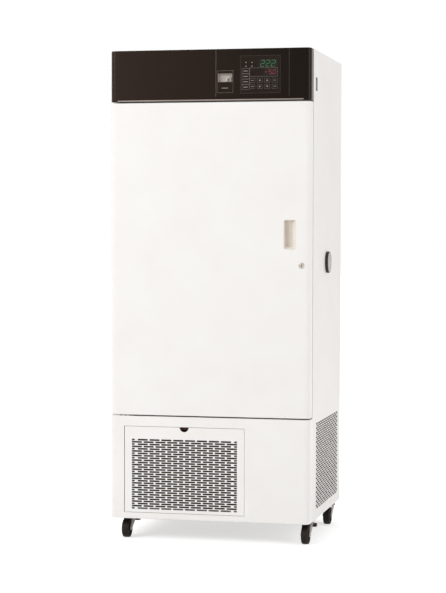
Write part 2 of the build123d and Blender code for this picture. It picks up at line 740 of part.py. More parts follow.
def breaker_lever():
    """The lever: a round hub on its pin and a toggle, thrown upwards."""
    xs = around(LEVER_X, LEVER_WIDTH)
    lever = rod_x(xs, LEVER_PIVOT_Y, WINDOW_Z, LEVER_RADIUS)
    toggle = block(
        xs, (LEVER_PIVOT_Y - 2 * LEVER_RADIUS, LEVER_PIVOT_Y), around(WINDOW_Z, LEVER_RADIUS)
    )
    pivot = Pos(0, LEVER_PIVOT_Y, WINDOW_Z)
    lever += pivot * Rot(-LEVER_THROW, 0, 0) * pivot.inverse() * toggle
    return lever - rod_x(xs, LEVER_PIVOT_Y, WINDOW_Z, LEVER_PIN_RADIUS + RUNNING_FIT)


def insulation_slabs():
    """The foam between the liner and the outer sheets: one slab for each wall."""
    inside = CHAMBER_SIDE + LINER_SHEET
    ys = (CARCASS_FRONT + LINER_SHEET, BACK - SHEET)
    zs = (FOAM_BOTTOM, FOAM_TOP)
    left = block((-INNER_SIDE, -inside), ys, zs)
    right = block((inside, INNER_SIDE), ys, zs)
    right -= rod_x((inside, INNER_SIDE), PORT_Y, PORT_Z, PORT_SLEEVE_RADIUS + CLEARANCE)
    middle = (-inside, inside)
    floor = block(middle, ys, (FOAM_BOTTOM, CHAMBER_FLOOR - LINER_SHEET))
    roof = block(middle, ys, (CHAMBER_CEILING + LINER_SHEET, FOAM_TOP))
    rear = block(
        middle, (DUCT_BACK + LINER_SHEET, ys[1]),
        (CHAMBER_FLOOR - LINER_SHEET, CHAMBER_CEILING + LINER_SHEET),
    )
    return group([left, right, floor, roof, rear])


def chamber_liner():
    """The stainless inner box with the flange that the door seals on."""
    outside = CHAMBER_SIDE + LINER_SHEET
    liner = block((-INNER_SIDE, INNER_SIDE), (CARCASS_FRONT, CARCASS_FRONT + LINER_SHEET),
                  (FOAM_BOTTOM, FOAM_TOP))
    liner += block(
        (-outside, outside), (CARCASS_FRONT, DUCT_BACK + LINER_SHEET),
        (CHAMBER_FLOOR - LINER_SHEET, CHAMBER_CEILING + LINER_SHEET),
    )
    liner -= block(
        (-CHAMBER_SIDE, CHAMBER_SIDE), (CARCASS_FRONT, DUCT_BACK),
        (CHAMBER_FLOOR, CHAMBER_CEILING),
    )
    return liner - rod_x(
        (CHAMBER_SIDE, outside), PORT_Y, PORT_Z, PORT_SLEEVE_RADIUS + CLEARANCE
    )


UPRIGHT_YS = (CARCASS_FRONT + UPRIGHT_FRONT_INSET, DUCT_FRONT - UPRIGHT_BACK_INSET)
UPRIGHT_ZS = (CHAMBER_FLOOR + UPRIGHT_END_MARGIN, CHAMBER_CEILING - UPRIGHT_END_MARGIN)
SLOT_STEP = (UPRIGHT_ZS[1] - UPRIGHT_ZS[0]) / UPRIGHT_SLOTS


def shelf_uprights():
    """The four slotted channels on the chamber's sides."""
    channels = []
    for sign in (-1, 1):
        inner_x = sign * (CHAMBER_SIDE - UPRIGHT_DEPTH)
        plane = side_plane(inner_x)
        for y in UPRIGHT_YS:
            slots = []
            for number in range(UPRIGHT_SLOTS):
                z = UPRIGHT_ZS[0] + (number + 0.5) * SLOT_STEP
                slots.append(
                    rectangle_wire(
                        plane, around(y, UPRIGHT_SLOT_WIDTH), around(z, UPRIGHT_SLOT_HEIGHT)
                    )
                )
            ys = around(y, UPRIGHT_WIDTH)
            channel = pierced_sheet(
                plane, ys, UPRIGHT_ZS, slots, UPRIGHT_SHEET, (sign, 0, 0)
            )
            xs = sorted((inner_x, sign * CHAMBER_SIDE))
            for leg in ((ys[0], ys[0] + UPRIGHT_SHEET), (ys[1] - UPRIGHT_SHEET, ys[1])):
                channel += block(xs, leg, UPRIGHT_ZS)
            channels.append(channel)
    return group(channels)


def shelf_height(number):
    """The underside of a shelf. Its clips hang in a whole slot of the uprights, and the
    shelves share the slots evenly."""
    slot = (number + 1) * UPRIGHT_SLOTS // (SHELF_COUNT + 1) - 1
    return UPRIGHT_ZS[0] + (slot + 0.5) * SLOT_STEP + CLIP_HEIGHT / 2


def shelf_clips():
    """A bent clip at every upright under each shelf."""
    clips = []
    for number in range(SHELF_COUNT):
        top = shelf_height(number)
        for sign in (-1, 1):
            face = sign * (CHAMBER_SIDE - UPRIGHT_DEPTH)
            for y in UPRIGHT_YS:
                ys = around(y, CLIP_WIDTH)
                clip = block(
                    sorted((face, face - sign * CLIP_SHEET)), ys, (top - CLIP_HEIGHT, top)
                )
                clip += block(
                    sorted((face, face - sign * CLIP_SHELF)), ys, (top - CLIP_SHEET, top)
                )
                clips.append(clip)
    return group(clips)


def shelf(number):
    """A wire shelf: a bent frame with straight wires welded between its sides."""
    half = CHAMBER_SIDE - SHELF_SIDE_GAP - SHELF_FRAME_RADIUS
    z = shelf_height(number) + SHELF_FRAME_RADIUS
    front = CARCASS_FRONT + SHELF_END_GAP + DOOR_PLUG_DEPTH + SHELF_FRAME_RADIUS
    back = DUCT_FRONT - SHELF_END_GAP - SHELF_FRAME_RADIUS
    bars = rod_x((-half, half), front, z, SHELF_FRAME_RADIUS)
    bars += rod_x((-half, half), back, z, SHELF_FRAME_RADIUS)
    for x in (-half, half):
        side = rod_y(x, (front, back), z, SHELF_FRAME_RADIUS)
        bars += side
        for y in (front, back):
            bars += Pos(x, y, z) * Sphere(SHELF_FRAME_RADIUS)
    for wire in range(SHELF_WIRES):
        x = -half + (wire + 1) * 2 * half / (SHELF_WIRES + 1)
        bars += rod_y(x, (front, back), z, SHELF_WIRE_RADIUS)
    return bars


def duct_panel():
    """The stainless cover over fan and coils, with an inlet and a row of outlets."""
    plane = upright_plane(DUCT_FRONT)
    half = CHAMBER_SIDE - CLEARANCE
    zs = grown((CHAMBER_FLOOR, CHAMBER_CEILING), -CLEARANCE)
    slot = (DUCT_SLOT_LENGTH, DUCT_SLOT_HEIGHT)
    pitch = (DUCT_SLOT_LENGTH + DUCT_SLOT_GAP, 2 * DUCT_SLOT_HEIGHT)
    inlet = brickwork(
        plane, -((DUCT_INLET_COLUMNS - 1) * pitch[0] + slot[0]) / 2,
        FAN_Z - DUCT_INLET_ROWS * pitch[1] / 2, DUCT_INLET_COLUMNS, DUCT_INLET_ROWS,
        slot, pitch,
    )
    columns = fit_count(2 * (half - DUCT_OUTLET_MARGIN), slot[0], pitch[0])
    outlets = brickwork(
        plane, -((columns - 1) * pitch[0] + slot[0]) / 2,
        CHAMBER_FLOOR + DUCT_OUTLET_ABOVE_FLOOR, columns, DUCT_OUTLET_ROWS, slot, pitch,
    )
    panel = pierced_sheet(plane, (-half, half), zs, inlet + outlets, LINER_SHEET, (0, 1, 0))
    for xs in ((-half, -half + LINER_SHEET), (half - LINER_SHEET, half)):
        panel += block(xs, (DUCT_FRONT, DUCT_BACK), zs)
    return panel


def circulation_fan():
    y_front = DUCT_BACK - MOTOR_LENGTH - FAN_THICKNESS - SHEET
    return impeller(
        (0, FAN_Z), y_front, FAN_THICKNESS, FAN_RADIUS, FAN_HUB_RADIUS, FAN_BLADES,
        SHAFT_RADIUS + RUNNING_FIT,
    )


COOLING_FAN_FRONT = CONDENSER_BACK + SHROUD_SHEET + FAN_AIR_GAP
STRAP_BACK = CONDENSER_BACK + SHROUD_DEPTH


def fan_motors():
    """Two motors of one type: behind the circulation fan and the condenser fan."""
    upper = rod_y(0, (DUCT_BACK - MOTOR_LENGTH, DUCT_BACK), FAN_Z, MOTOR_RADIUS)
    upper += rod_y(
        0, (DUCT_BACK - MOTOR_LENGTH - FAN_THICKNESS - SHEET, DUCT_BACK), FAN_Z, SHAFT_RADIUS
    )
    strap_front = STRAP_BACK - SHROUD_SHEET
    lower = rod_y(
        COOLING_FAN_X, (strap_front - MOTOR_LENGTH, strap_front), COOLING_FAN_Z, MOTOR_RADIUS
    )
    lower += rod_y(
        COOLING_FAN_X, (COOLING_FAN_FRONT, strap_front), COOLING_FAN_Z, SHAFT_RADIUS
    )
    return group([upper, lower])


def condenser_fan():
    return impeller(
        (COOLING_FAN_X, COOLING_FAN_Z), COOLING_FAN_FRONT, COOLING_FAN_THICKNESS,
        COOLING_FAN_RADIUS, COOLING_FAN_HUB_RADIUS, FAN_BLADES, SHAFT_RADIUS + RUNNING_FIT,
    )


def evaporator():
    """The cooling coil in the air duct: fins with the tube's bends at one end."""
    xs = grown((-CHAMBER_SIDE, CHAMBER_SIDE), -EVAPORATOR_SIDE_GAP)
    top = CHAMBER_CEILING - EVAPORATOR_BELOW_CEILING
    ys = (DUCT_FRONT + DUCT_DEPTH / 4, DUCT_BACK)
    return finned_coil(xs, ys, (top - EVAPORATOR_HEIGHT, top), EVAPORATOR_FIN_PITCH)


def heater():
    """A sheathed heating rod bent into a loop, its ends in the chamber's back."""
    z = CHAMBER_CEILING - HEATER_BELOW_CEILING
    y = DUCT_FRONT + DUCT_DEPTH / 2
    half = CHAMBER_SIDE - HEATER_SIDE_GAP
    route = FilletPolyline(
        (-half, DUCT_BACK, z), (-half, y, z), (half, y, z), (half, DUCT_BACK, z),
        radius=HEATER_BEND_RADIUS,
    )
    section = Plane(route @ 0, z_dir=route % 0) * Circle(HEATER_RADIUS)
    return sweep(section, route)


def compressor():
    """The welded steel pot on its foot plate, with four rubber feet and a pipe stub."""
    plate_low = PAN_TOP + COMPRESSOR_FOOT_HEIGHT
    plate_top = plate_low + COMPRESSOR_PLATE
    high = PAN_TOP + COMPRESSOR_HEIGHT
    pot = rod_z(COMPRESSOR_X, COMPRESSOR_Y, (plate_top, high), COMPRESSOR_RADIUS)
    pot = fillet(pot.edges().filter_by(GeomType.CIRCLE), COMPRESSOR_DOME)
    half = COMPRESSOR_FOOT_SPACING / 2
    reach = half + COMPRESSOR_FOOT_RADIUS
    pot += block(
        (COMPRESSOR_X - reach, COMPRESSOR_X + reach),
        (COMPRESSOR_Y - reach, COMPRESSOR_Y + reach),
        (plate_low, plate_top),
    )
    for dx in (-half, half):
        for dy in (-half, half):
            pot += rod_z(
                COMPRESSOR_X + dx, COMPRESSOR_Y + dy, (PAN_TOP, plate_low), COMPRESSOR_FOOT_RADIUS
            )
    stub_end = COMPRESSOR_Y - COMPRESSOR_RADIUS - COMPRESSOR_STUB_LENGTH
    stub_z = (plate_top + high) / 2
    return pot + rod_y(COMPRESSOR_X, (stub_end, COMPRESSOR_Y), stub_z, COIL_TUBE_RADIUS)


def condenser():
    """The warm coil right behind the grille."""
    xs = (CONDENSER_LEFT, CONDENSER_LEFT + CONDENSER_WIDTH)
    ys = (FRONT + CONDENSER_BEHIND_FRONT, CONDENSER_BACK)
    return finned_coil(xs, ys, (PAN_TOP, CONDENSER_TOP), CONDENSER_FIN_PITCH)


def fan_shroud():
    """The sheet box that guides air through the condenser fan, with a motor strap."""
    xs = (CONDENSER_LEFT, CONDENSER_LEFT + CONDENSER_WIDTH)
    zs = (PAN_TOP, CONDENSER_TOP)
    ys = (CONDENSER_BACK, STRAP_BACK)
    box = block(xs, ys, zs) - block(
        grown(xs, -SHROUD_SHEET), ys, grown(zs, -SHROUD_SHEET)
    )
    plate = block(xs, (ys[0], ys[0] + SHROUD_SHEET), zs)
    hole = COOLING_FAN_RADIUS + FAN_AIR_GAP
    plate -= rod_y(COOLING_FAN_X, (ys[0], ys[0] + SHROUD_SHEET), COOLING_FAN_Z, hole)
    strap = block(
        around(COOLING_FAN_X, SHROUD_STRAP_WIDTH), (ys[1] - SHROUD_SHEET, ys[1]), zs
    )
    return box + plate + strap


def port_collar():
    """The ring round the cable port, with a sleeve through the wall."""
    face = SIDE + PORT_COLLAR_HEIGHT
    collar = rod_x((SIDE, face), PORT_Y, PORT_Z, PORT_COLLAR_RADIUS)
    collar += rod_x((CHAMBER_SIDE, SIDE), PORT_Y, PORT_Z, PORT_SLEEVE_RADIUS)
    collar -= rod_x((CHAMBER_SIDE, face), PORT_Y, PORT_Z, PORT_BORE_RADIUS)
    return collar - rod_x(
        (face - PORT_CAP_DEPTH - CLEARANCE, face), PORT_Y, PORT_Z, PORT_CAP_RADIUS + CLEARANCE
    )


def port_plug():
    """The plug that fills the port: a flat cap and a long stem."""
    face = SIDE + PORT_COLLAR_HEIGHT
    plug = rod_x((face - PORT_CAP_DEPTH, face), PORT_Y, PORT_Z, PORT_CAP_RADIUS)
    return plug + rod_x((CHAMBER_SIDE, face), PORT_Y, PORT_Z, PORT_BORE_RADIUS - CLEARANCE)


def terminal_cover():
    """The small cover over the outside terminals, high on the right side."""
    plate = block(
        (SIDE, SIDE + TERMINAL_PROUD),
        around(TERMINAL_Y, TERMINAL_WIDTH), around(TERMINAL_Z, TERMINAL_HEIGHT),
    )
    plate = fillet(plate.edges().filter_by(Axis.X), SHEET)
    inside = 2 * (SHEET + CLEARANCE)
    return plate + block(
        (INNER_SIDE - SHEET, SIDE),
        around(TERMINAL_Y, TERMINAL_WIDTH - inside),
        around(TERMINAL_Z, TERMINAL_HEIGHT - inside),
    )


def power_gland():
    """The gland low on the back where the mains lead enters."""
    z = BOTTOM + GLAND_ABOVE_SKIRT
    hexagon = upright_plane(BACK) * Pos(GLAND_X, z) * RegularPolygon(GLAND_RADIUS, 6)
    nut = extrude(hexagon, amount=GLAND_LENGTH / 2, dir=(0, 1, 0))
    nut += rod_y(
        GLAND_X, (BACK + GLAND_LENGTH / 2, BACK + GLAND_LENGTH), z, GLAND_NOSE_RADIUS
    )
    return nut - rod_y(GLAND_X, (BACK, BACK + GLAND_LENGTH), z, GLAND_BORE_RADIUS)


def screws():
    """The screws that hold the back panel."""
    heads = []
    x = INNER_SIDE - SCREW_FROM_EDGE
    zs = (BOTTOM + 2 * SCREW_FROM_EDGE, TOP - 2 * SCREW_FROM_EDGE)
    for number in range(SCREWS_PER_SIDE):
        z = zs[0] + (zs[1] - zs[0]) * number / (SCREWS_PER_SIDE - 1)
        for sign in (-1, 1):
            heads.append(rod_y(sign * x, (BACK, BACK + SCREW_HEAD), z, SCREW_RADIUS))
    return group(heads)


def hinge_brackets():
    """The two hinge plates with their pins: one on the base, one under the header."""
    xs = (-SIDE + HINGE_INSET / 4, -SIDE + HINGE_INSET / 4 + HINGE_BRACKET_LENGTH)
    ys = (FRONT + HINGE_BRACKET_THICKNESS, CARCASS_FRONT)
    lower_top = BASE_TOP + HINGE_BRACKET_THICKNESS
    lower = block(xs, ys, (BASE_TOP, lower_top))
    lower += rod_z(HINGE_X, HINGE_Y, (BASE_TOP, lower_top + HINGE_PIN_LENGTH), HINGE_PIN_RADIUS)
    upper_low = HEADER_BOTTOM - HINGE_BRACKET_THICKNESS
    upper = block(xs, ys, (upper_low, HEADER_BOTTOM))
    pin_low = DOOR_TOP - HINGE_PIN_LENGTH
    upper += rod_z(HINGE_X, HINGE_Y, (pin_low, HEADER_BOTTOM), HINGE_PIN_RADIUS)
    upper += rod_z(HINGE_X, HINGE_Y, (DOOR_TOP + CLEARANCE, upper_low), 2 * HINGE_PIN_RADIUS)
    return group([lower, upper])


HANDLE_XS = around(HANDLE_X, HANDLE_WIDTH)
HANDLE_ZS = around(HANDLE_Z, HANDLE_HEIGHT)
CUP_YS = (FRONT + DOOR_SHEET, FRONT + HANDLE_POCKET_DEPTH + HANDLE_WALL)


def door_skin():
    """The door's painted outer pan, with holes for handle, lock and hinge pins."""
    skin = front_prism(
        SIDE, FRONT, DOOR_BACK, CORNER_RADIUS, (DOOR_BOTTOM, DOOR_TOP), EDGE_RADIUS
    )
    skin -= front_prism(
        SIDE - DOOR_SHEET, FRONT + DOOR_SHEET, DOOR_BACK, CORNER_RADIUS - DOOR_SHEET,
        grown((DOOR_BOTTOM, DOOR_TOP), -DOOR_SHEET), EDGE_RADIUS - DOOR_SHEET,
    )
    wall = (FRONT, FRONT + DOOR_SHEET)
    skin -= block(grown(HANDLE_XS, CLEARANCE), wall, grown(HANDLE_ZS, CLEARANCE))
    skin -= rod_y(LOCK_X, wall, LOCK_Z, LOCK_BARREL_RADIUS + CLEARANCE)
    for zs in ((DOOR_BOTTOM, DOOR_BOTTOM + DOOR_SHEET), (DOOR_TOP - DOOR_SHEET, DOOR_TOP)):
        skin -= rod_z(HINGE_X, HINGE_Y, zs, HINGE_PIN_RADIUS + RUNNING_FIT)
    return skin


PLUG_XS = grown((-CHAMBER_SIDE, CHAMBER_SIDE), -DOOR_PLUG_MARGIN)
PLUG_ZS = grown((CHAMBER_FLOOR, CHAMBER_CEILING), -DOOR_PLUG_MARGIN)


def door_foam():
    """The foam that fills the door, cut out round handle, lock and hinge pins."""
    foam = front_prism(
        SIDE - DOOR_SHEET, FRONT + DOOR_SHEET, DOOR_BACK - LINER_SHEET, CORNER_RADIUS,
        grown((DOOR_BOTTOM, DOOR_TOP), -DOOR_SHEET), EDGE_RADIUS,
    )
    foam += block(
        grown(PLUG_XS, -LINER_SHEET), (FRONT + DOOR_SHEET, DOOR_BACK + DOOR_PLUG_DEPTH - LINER_SHEET),
        grown(PLUG_ZS, -LINER_SHEET),
    )
    foam -= block(grown(HANDLE_XS, HANDLE_WALL), CUP_YS, grown(HANDLE_ZS, HANDLE_WALL))
    lock_end = FRONT + LOCK_LENGTH
    foam -= rod_y(LOCK_X, (FRONT, lock_end), LOCK_Z, LOCK_BARREL_RADIUS + CLEARANCE)
    foam -= rod_y(
        LOCK_X, (lock_end, lock_end + 2 * LOCK_CAM_THICKNESS), LOCK_Z,
        LOCK_CAM_REACH + LOCK_CAM_ROOM,
    )
    room = HINGE_PIN_LENGTH + HINGE_PIN_RADIUS
    for zs in ((DOOR_BOTTOM, DOOR_BOTTOM + room), (DOOR_TOP - room, DOOR_TOP)):
        foam -= rod_z(HINGE_X, HINGE_Y, zs, HINGE_PIN_RADIUS + CLEARANCE)
    return foam


def door_liner():
    """The stainless inner pan of the door, pressed out into the chamber's mouth."""
    sheet_ys = (DOOR_BACK - LINER_SHEET, DOOR_BACK)
    inner = SIDE - DOOR_SHEET
    liner = block((-inner, inner), sheet_ys, grown((DOOR_BOTTOM, DOOR_TOP), -DOOR_SHEET))
    liner = fillet(liner.edges().filter_by(Axis.Y), EDGE_RADIUS)
    rear = DOOR_BACK + DOOR_PLUG_DEPTH
    liner += block(PLUG_XS, (sheet_ys[0], rear), PLUG_ZS)
    return liner - block(
        grown(PLUG_XS, -LINER_SHEET), (sheet_ys[0], rear - LINER_SHEET),
        grown(PLUG_ZS, -LINER_SHEET),
    )


def door_gasket():
    """The magnetic seal: a frame of four bars behind the door."""
    xs = grown((-SIDE, SIDE), -GASKET_INSET)
    zs = grown((DOOR_BOTTOM, DOOR_TOP), -GASKET_INSET / 2)
    ys = (DOOR_BACK, CARCASS_FRONT - CLEARANCE)
    return block(xs, ys, zs) - block(
        grown(xs, -GASKET_WIDTH), ys, grown(zs, -GASKET_WIDTH)
    )


def handle_cup():
    """The moulded finger cup: a pocket with steep walls to the left and above, and
    gentle ramps to the right and below."""
    cup = block(HANDLE_XS, (FRONT, CUP_YS[0]), HANDLE_ZS)
    cup += block(grown(HANDLE_XS, HANDLE_WALL), CUP_YS, grown(HANDLE_ZS, HANDLE_WALL))
    mouth_us = grown(HANDLE_XS, -HANDLE_RIM)
    mouth_vs = grown(HANDLE_ZS, -HANDLE_RIM)
    floor_us = (mouth_us[0] + HANDLE_LEFT_RAMP, mouth_us[1] - HANDLE_SIDE_RAMP)
    floor_vs = (mouth_vs[0] + HANDLE_LOWER_RAMP, mouth_vs[1] - HANDLE_UPPER_RAMP)
    mouth = Face(rectangle_wire(upright_plane(FRONT), mouth_us, mouth_vs))
    floor_plane = upright_plane(FRONT + HANDLE_POCKET_DEPTH)
    floor = Face(rectangle_wire(floor_plane, floor_us, floor_vs))
    return cup - loft([mouth, floor], ruled=True)


def lock_barrel():
    """The fixed part of the lock: a rose on the door and a barrel through it."""
    barrel = rod_y(LOCK_X, (FRONT - SHEET, FRONT), LOCK_Z, LOCK_BARREL_RADIUS + LOCK_ROSE_RIM)
    barrel += rod_y(LOCK_X, (FRONT, FRONT + LOCK_LENGTH), LOCK_Z, LOCK_BARREL_RADIUS)
    return barrel - rod_y(
        LOCK_X, (FRONT - SHEET, FRONT + LOCK_LENGTH), LOCK_Z, LOCK_CORE_RADIUS + RUNNING_FIT
    )


def lock_core():
    """The part that the key turns, with its keyway and the cam at its end."""
    end = FRONT + LOCK_LENGTH + CLEARANCE
    core = rod_y(LOCK_X, (FRONT - SHEET, end), LOCK_Z, LOCK_CORE_RADIUS)
    core += block(
        around(LOCK_X, LOCK_CAM_WIDTH),
        (end, end + LOCK_CAM_THICKNESS),
        (LOCK_Z - LOCK_CORE_RADIUS, LOCK_Z + LOCK_CAM_REACH),
    )
    return core - block(
        around(LOCK_X, SHEET), (FRONT - SHEET, FRONT + LOCK_CORE_RADIUS),
        around(LOCK_Z, KEYWAY_HEIGHT),
    )


FORK_INNER = WHEEL_WIDTH / 2 + FORK_GAP
FORK_OUTER = FORK_INNER + FORK_SHEET
PEDAL_Z = CROWN_LOW - PEDAL_PIVOT_DROP


def caster_places():
    """Name, centre and brake of each caster, at its swivel axis."""
    for end, y, braked in (
        ("front", FRONT + CASTER_FRONT_INSET, True),
        ("rear", BACK - CASTER_BACK_INSET, False),
    ):
        for side, x in (
            ("left", -SIDE + CASTER_FROM_LEFT), ("right", SIDE - CASTER_FROM_RIGHT),
        ):
            yield f"{end}_{side}", x, y, braked


def caster_stems():
    """The fixed part of each caster: a race under the pan and a kingpin."""
    stems = []
    for name, x, y, braked in caster_places():
        stem = rod_z(x, y, (RACE_LOW, PAN_LOW), RACE_RADIUS)
        stem += rod_z(x, y, (CROWN_LOW - CLEARANCE, RACE_LOW), KINGPIN_RADIUS)
        head = (CROWN_LOW - CLEARANCE - KINGPIN_HEAD, CROWN_LOW - CLEARANCE)
        stem += rod_z(x, y, head, KINGPIN_HEAD_RADIUS)
        stems.append(stem)
    return group(stems)


def caster_fork(x, y, braked):
    """The swivelling fork: a crown on a neck, two tapered legs and the axle."""
    crown = rod_z(0, 0, (CROWN_LOW, CROWN_TOP), CROWN_RADIUS)
    crown += rod_z(0, 0, (CROWN_TOP, NECK_TOP), NECK_RADIUS)
    crown -= rod_z(0, 0, (CROWN_LOW, NECK_TOP), KINGPIN_RADIUS + RUNNING_FIT)
    foot = Pos(-CASTER_TRAIL, AXLE_Z) * Circle(FORK_FOOT_RADIUS)
    heel = Pos(PEDAL_PIVOT_BACK, PEDAL_Z) * Circle(PEDAL_HUB_RADIUS)
    shoulder = Pos(0, CROWN_LOW + CROWN_SHEET / 2) * Rectangle(2 * PEDAL_PIVOT_BACK, CROWN_SHEET)
    leg_face = make_hull(foot.edges() + heel.edges() + shoulder.edges())
    for sign in (-1, 1):
        inner = side_plane(sign * FORK_INNER) * leg_face
        crown += extrude(inner, amount=sign * FORK_SHEET, dir=(1, 0, 0))
    reach = FORK_OUTER + FORK_SHEET
    crown += rod_x((-reach, reach), -CASTER_TRAIL, AXLE_Z, AXLE_RADIUS)
    if braked:
        crown += rod_x((-FORK_INNER, FORK_INNER), PEDAL_PIVOT_BACK, PEDAL_Z, PEDAL_PIN_RADIUS)
    return Pos(x, y, 0) * crown


def caster_wheel(x, y):
    """The wheel: a tread with rounded shoulders and a hub in a recess."""
    half = WHEEL_WIDTH / 2
    section = Pos(0, WHEEL_RADIUS / 2) * Rectangle(WHEEL_WIDTH, WHEEL_RADIUS)
    corners = section.vertices().sort_by(Axis.Y)[-2:]
    section = fillet(corners, WHEEL_SHOULDER)
    middle = (WHEEL_HUB_RADIUS + WHEEL_RADIUS - 2 * WHEEL_SHOULDER) / 2
    depth = WHEEL_RADIUS - 2 * WHEEL_SHOULDER - WHEEL_HUB_RADIUS
    for sign in (-1, 1):
        recess = Rectangle(WHEEL_RECESS, depth)
        section -= Pos(sign * (half - WHEEL_RECESS / 2), middle) * recess
    section -= Pos(0, (AXLE_RADIUS + RUNNING_FIT) / 2) * Rectangle(
        WHEEL_WIDTH, AXLE_RADIUS + RUNNING_FIT
    )
    wheel = revolve(section, Axis.X)
    return Pos(x, y - CASTER_TRAIL, AXLE_Z) * wheel


def brake_pedal(x, y):
    """The foot brake behind the fork: a hub on its pin, an arm and a wide pad."""
    half_hub = FORK_INNER - CLEARANCE
    pedal = rod_x((-half_hub, half_hub), 0, 0, PEDAL_HUB_RADIUS - SHEET)
    arm_end = PEDAL_LENGTH - PEDAL_PAD_LENGTH
    pedal += block(
        (-half_hub, half_hub), (0, arm_end + SHEET), around(0, 2 * (PEDAL_HUB_RADIUS - SHEET))
    )
    pad = block(
        around(0, PEDAL_WIDTH), (arm_end, PEDAL_LENGTH), around(-SHEET, PEDAL_THICKNESS)
    )
    pedal += fillet(pad.edges().filter_by(Axis.X), PEDAL_THICKNESS / 3)
    pedal -= rod_x((-half_hub, half_hub), 0, 0, PEDAL_PIN_RADIUS + RUNNING_FIT)
    tilt = Pos(0, PEDAL_PIVOT_BACK, PEDAL_Z) * Rot(-PEDAL_DROP, 0, 0)
    return Pos(x, y, 0) * tilt * pedal


KEY_NAMES = (
    "menu_key", "left_key", "up_key", "enter_key",
    "timer_key", "right_key", "down_key", "start_key",
)

nodes = {
    "left_side_panel": side_panel(-1),
    "right_side_panel": side_panel(1),
    "top_panel": top_panel(),
    "back_panel": back_panel(),
    "base_front_panel": base_front_panel(),
    "base_pan": base_pan(),
    "grille_panel": grille_panel(),
    "header_cover": header_cover(),
    "header_trim": header_trim(),
    "control_panel": control_panel(),
    "breaker_body": breaker_body(),
    "breaker_lever": breaker_lever(),
    "insulation_slabs": insulation_slabs(),
    "chamber_liner": chamber_liner(),
    "shelf_uprights": shelf_uprights(),
    "shelf_clips": shelf_clips(),
    "duct_panel": duct_panel(),
    "circulation_fan": circulation_fan(),
    "fan_motors": fan_motors(),
    "evaporator": evaporator(),
    "heater": heater(),
    "compressor": compressor(),
    "condenser": condenser(),
    "condenser_fan": condenser_fan(),
    "fan_shroud": fan_shroud(),
    "port_collar": port_collar(),
    "port_plug": port_plug(),
    "terminal_cover": terminal_cover(),
    "power_gland": power_gland(),
    "screws": screws(),
    "hinge_brackets": hinge_brackets(),
    "door_skin": door_skin(),
    "door_foam": door_foam(),
    "door_liner": door_liner(),
    "door_gasket": door_gasket(),
    "handle_cup": handle_cup(),
    "lock_barrel": lock_barrel(),
    "lock_core": lock_core(),
    "caster_stems": caster_stems(),
}
for name, (key_x, key_z) in zip(KEY_NAMES, key_places()):
    nodes[name] = control_key(key_x, key_z)
for number in range(SHELF_COUNT):
    nodes[f"shelf_{number + 1}"] = shelf(number)
for name, x, y, braked in caster_places():
    nodes[f"{name}_fork"] = caster_fork(x, y, braked)
    nodes[f"{name}_wheel"] = caster_wheel(x, y)
    if braked:
        nodes[f"{name}_brake"] = brake_pedal(x, y)

for name, shape in nodes.items():
    export_step(shape, f"parts/{name}.step")
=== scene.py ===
import json
import math

import bmesh
import bpy
from mathutils import Matrix, Vector, geometry


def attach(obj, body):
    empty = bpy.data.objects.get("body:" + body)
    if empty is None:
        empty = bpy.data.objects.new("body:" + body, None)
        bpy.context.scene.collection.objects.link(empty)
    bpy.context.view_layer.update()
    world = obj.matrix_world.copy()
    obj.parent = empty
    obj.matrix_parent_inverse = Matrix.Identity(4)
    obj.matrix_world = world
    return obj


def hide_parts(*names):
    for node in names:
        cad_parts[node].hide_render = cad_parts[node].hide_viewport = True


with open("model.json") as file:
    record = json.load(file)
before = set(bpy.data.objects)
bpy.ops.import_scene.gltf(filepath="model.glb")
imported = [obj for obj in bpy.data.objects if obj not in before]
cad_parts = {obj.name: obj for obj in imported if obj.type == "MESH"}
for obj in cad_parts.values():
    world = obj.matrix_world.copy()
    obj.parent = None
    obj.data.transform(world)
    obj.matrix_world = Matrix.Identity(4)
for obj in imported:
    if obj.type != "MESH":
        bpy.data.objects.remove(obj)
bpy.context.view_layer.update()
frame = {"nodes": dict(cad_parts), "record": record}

# The pieces below are worked out in millimetres, in the frame of the model: X to the
# right, the door faces -Y, Z = 0 on the floor. piece() turns them into metres.
MM = 0.001
SIDE = 355.0
FRONT = -322.5
BACK = 322.5
CARCASS = -269.5
SKIRT = 74.0
BASE_TOP = 434.0
DOOR_LOW = 438.0
DOOR_HIGH = 1523.0
DOOR_BACK = -277.5
HEADER_LOW = 1531.0
TOP = 1705.0
CORNER = 20.0
SHEET = 1.5
CHAMBER = 300.0
CHAMBER_LOW = 480.5
CHAMBER_HIGH = 1480.5
DUCT_FRONT = 207.5
DUCT_BACK = 267.5
PAN_TOP = 90.0


# Colours and materials.


def colour(code):
    """An sRGB hex value as linear red, green, blue and alpha."""
    made = []
    for start in (0, 2, 4):
        part = int(code[start:start + 2], 16) / 255
        made.append(part / 12.92 if part <= 0.04045 else ((part + 0.055) / 1.055) ** 2.4)
    return (*made, 1.0)


def add(tree, kind, inputs=(), output=0, **settings):
    """Adds a node with its settings, values and links, and gives one of its outputs. A list
    links several outputs to one input."""
    made = tree.nodes.new(kind)
    for key, value in settings.items():
        setattr(made, key, value)
    for key, value in inputs.items() if isinstance(inputs, dict) else enumerate(inputs):
        for each in value if isinstance(value, list) else [value]:
            if isinstance(each, bpy.types.NodeSocket):
                tree.links.new(each, made.inputs[key])
            else:
                made.inputs[key].default_value = each
    return made.outputs[output] if made.outputs else None


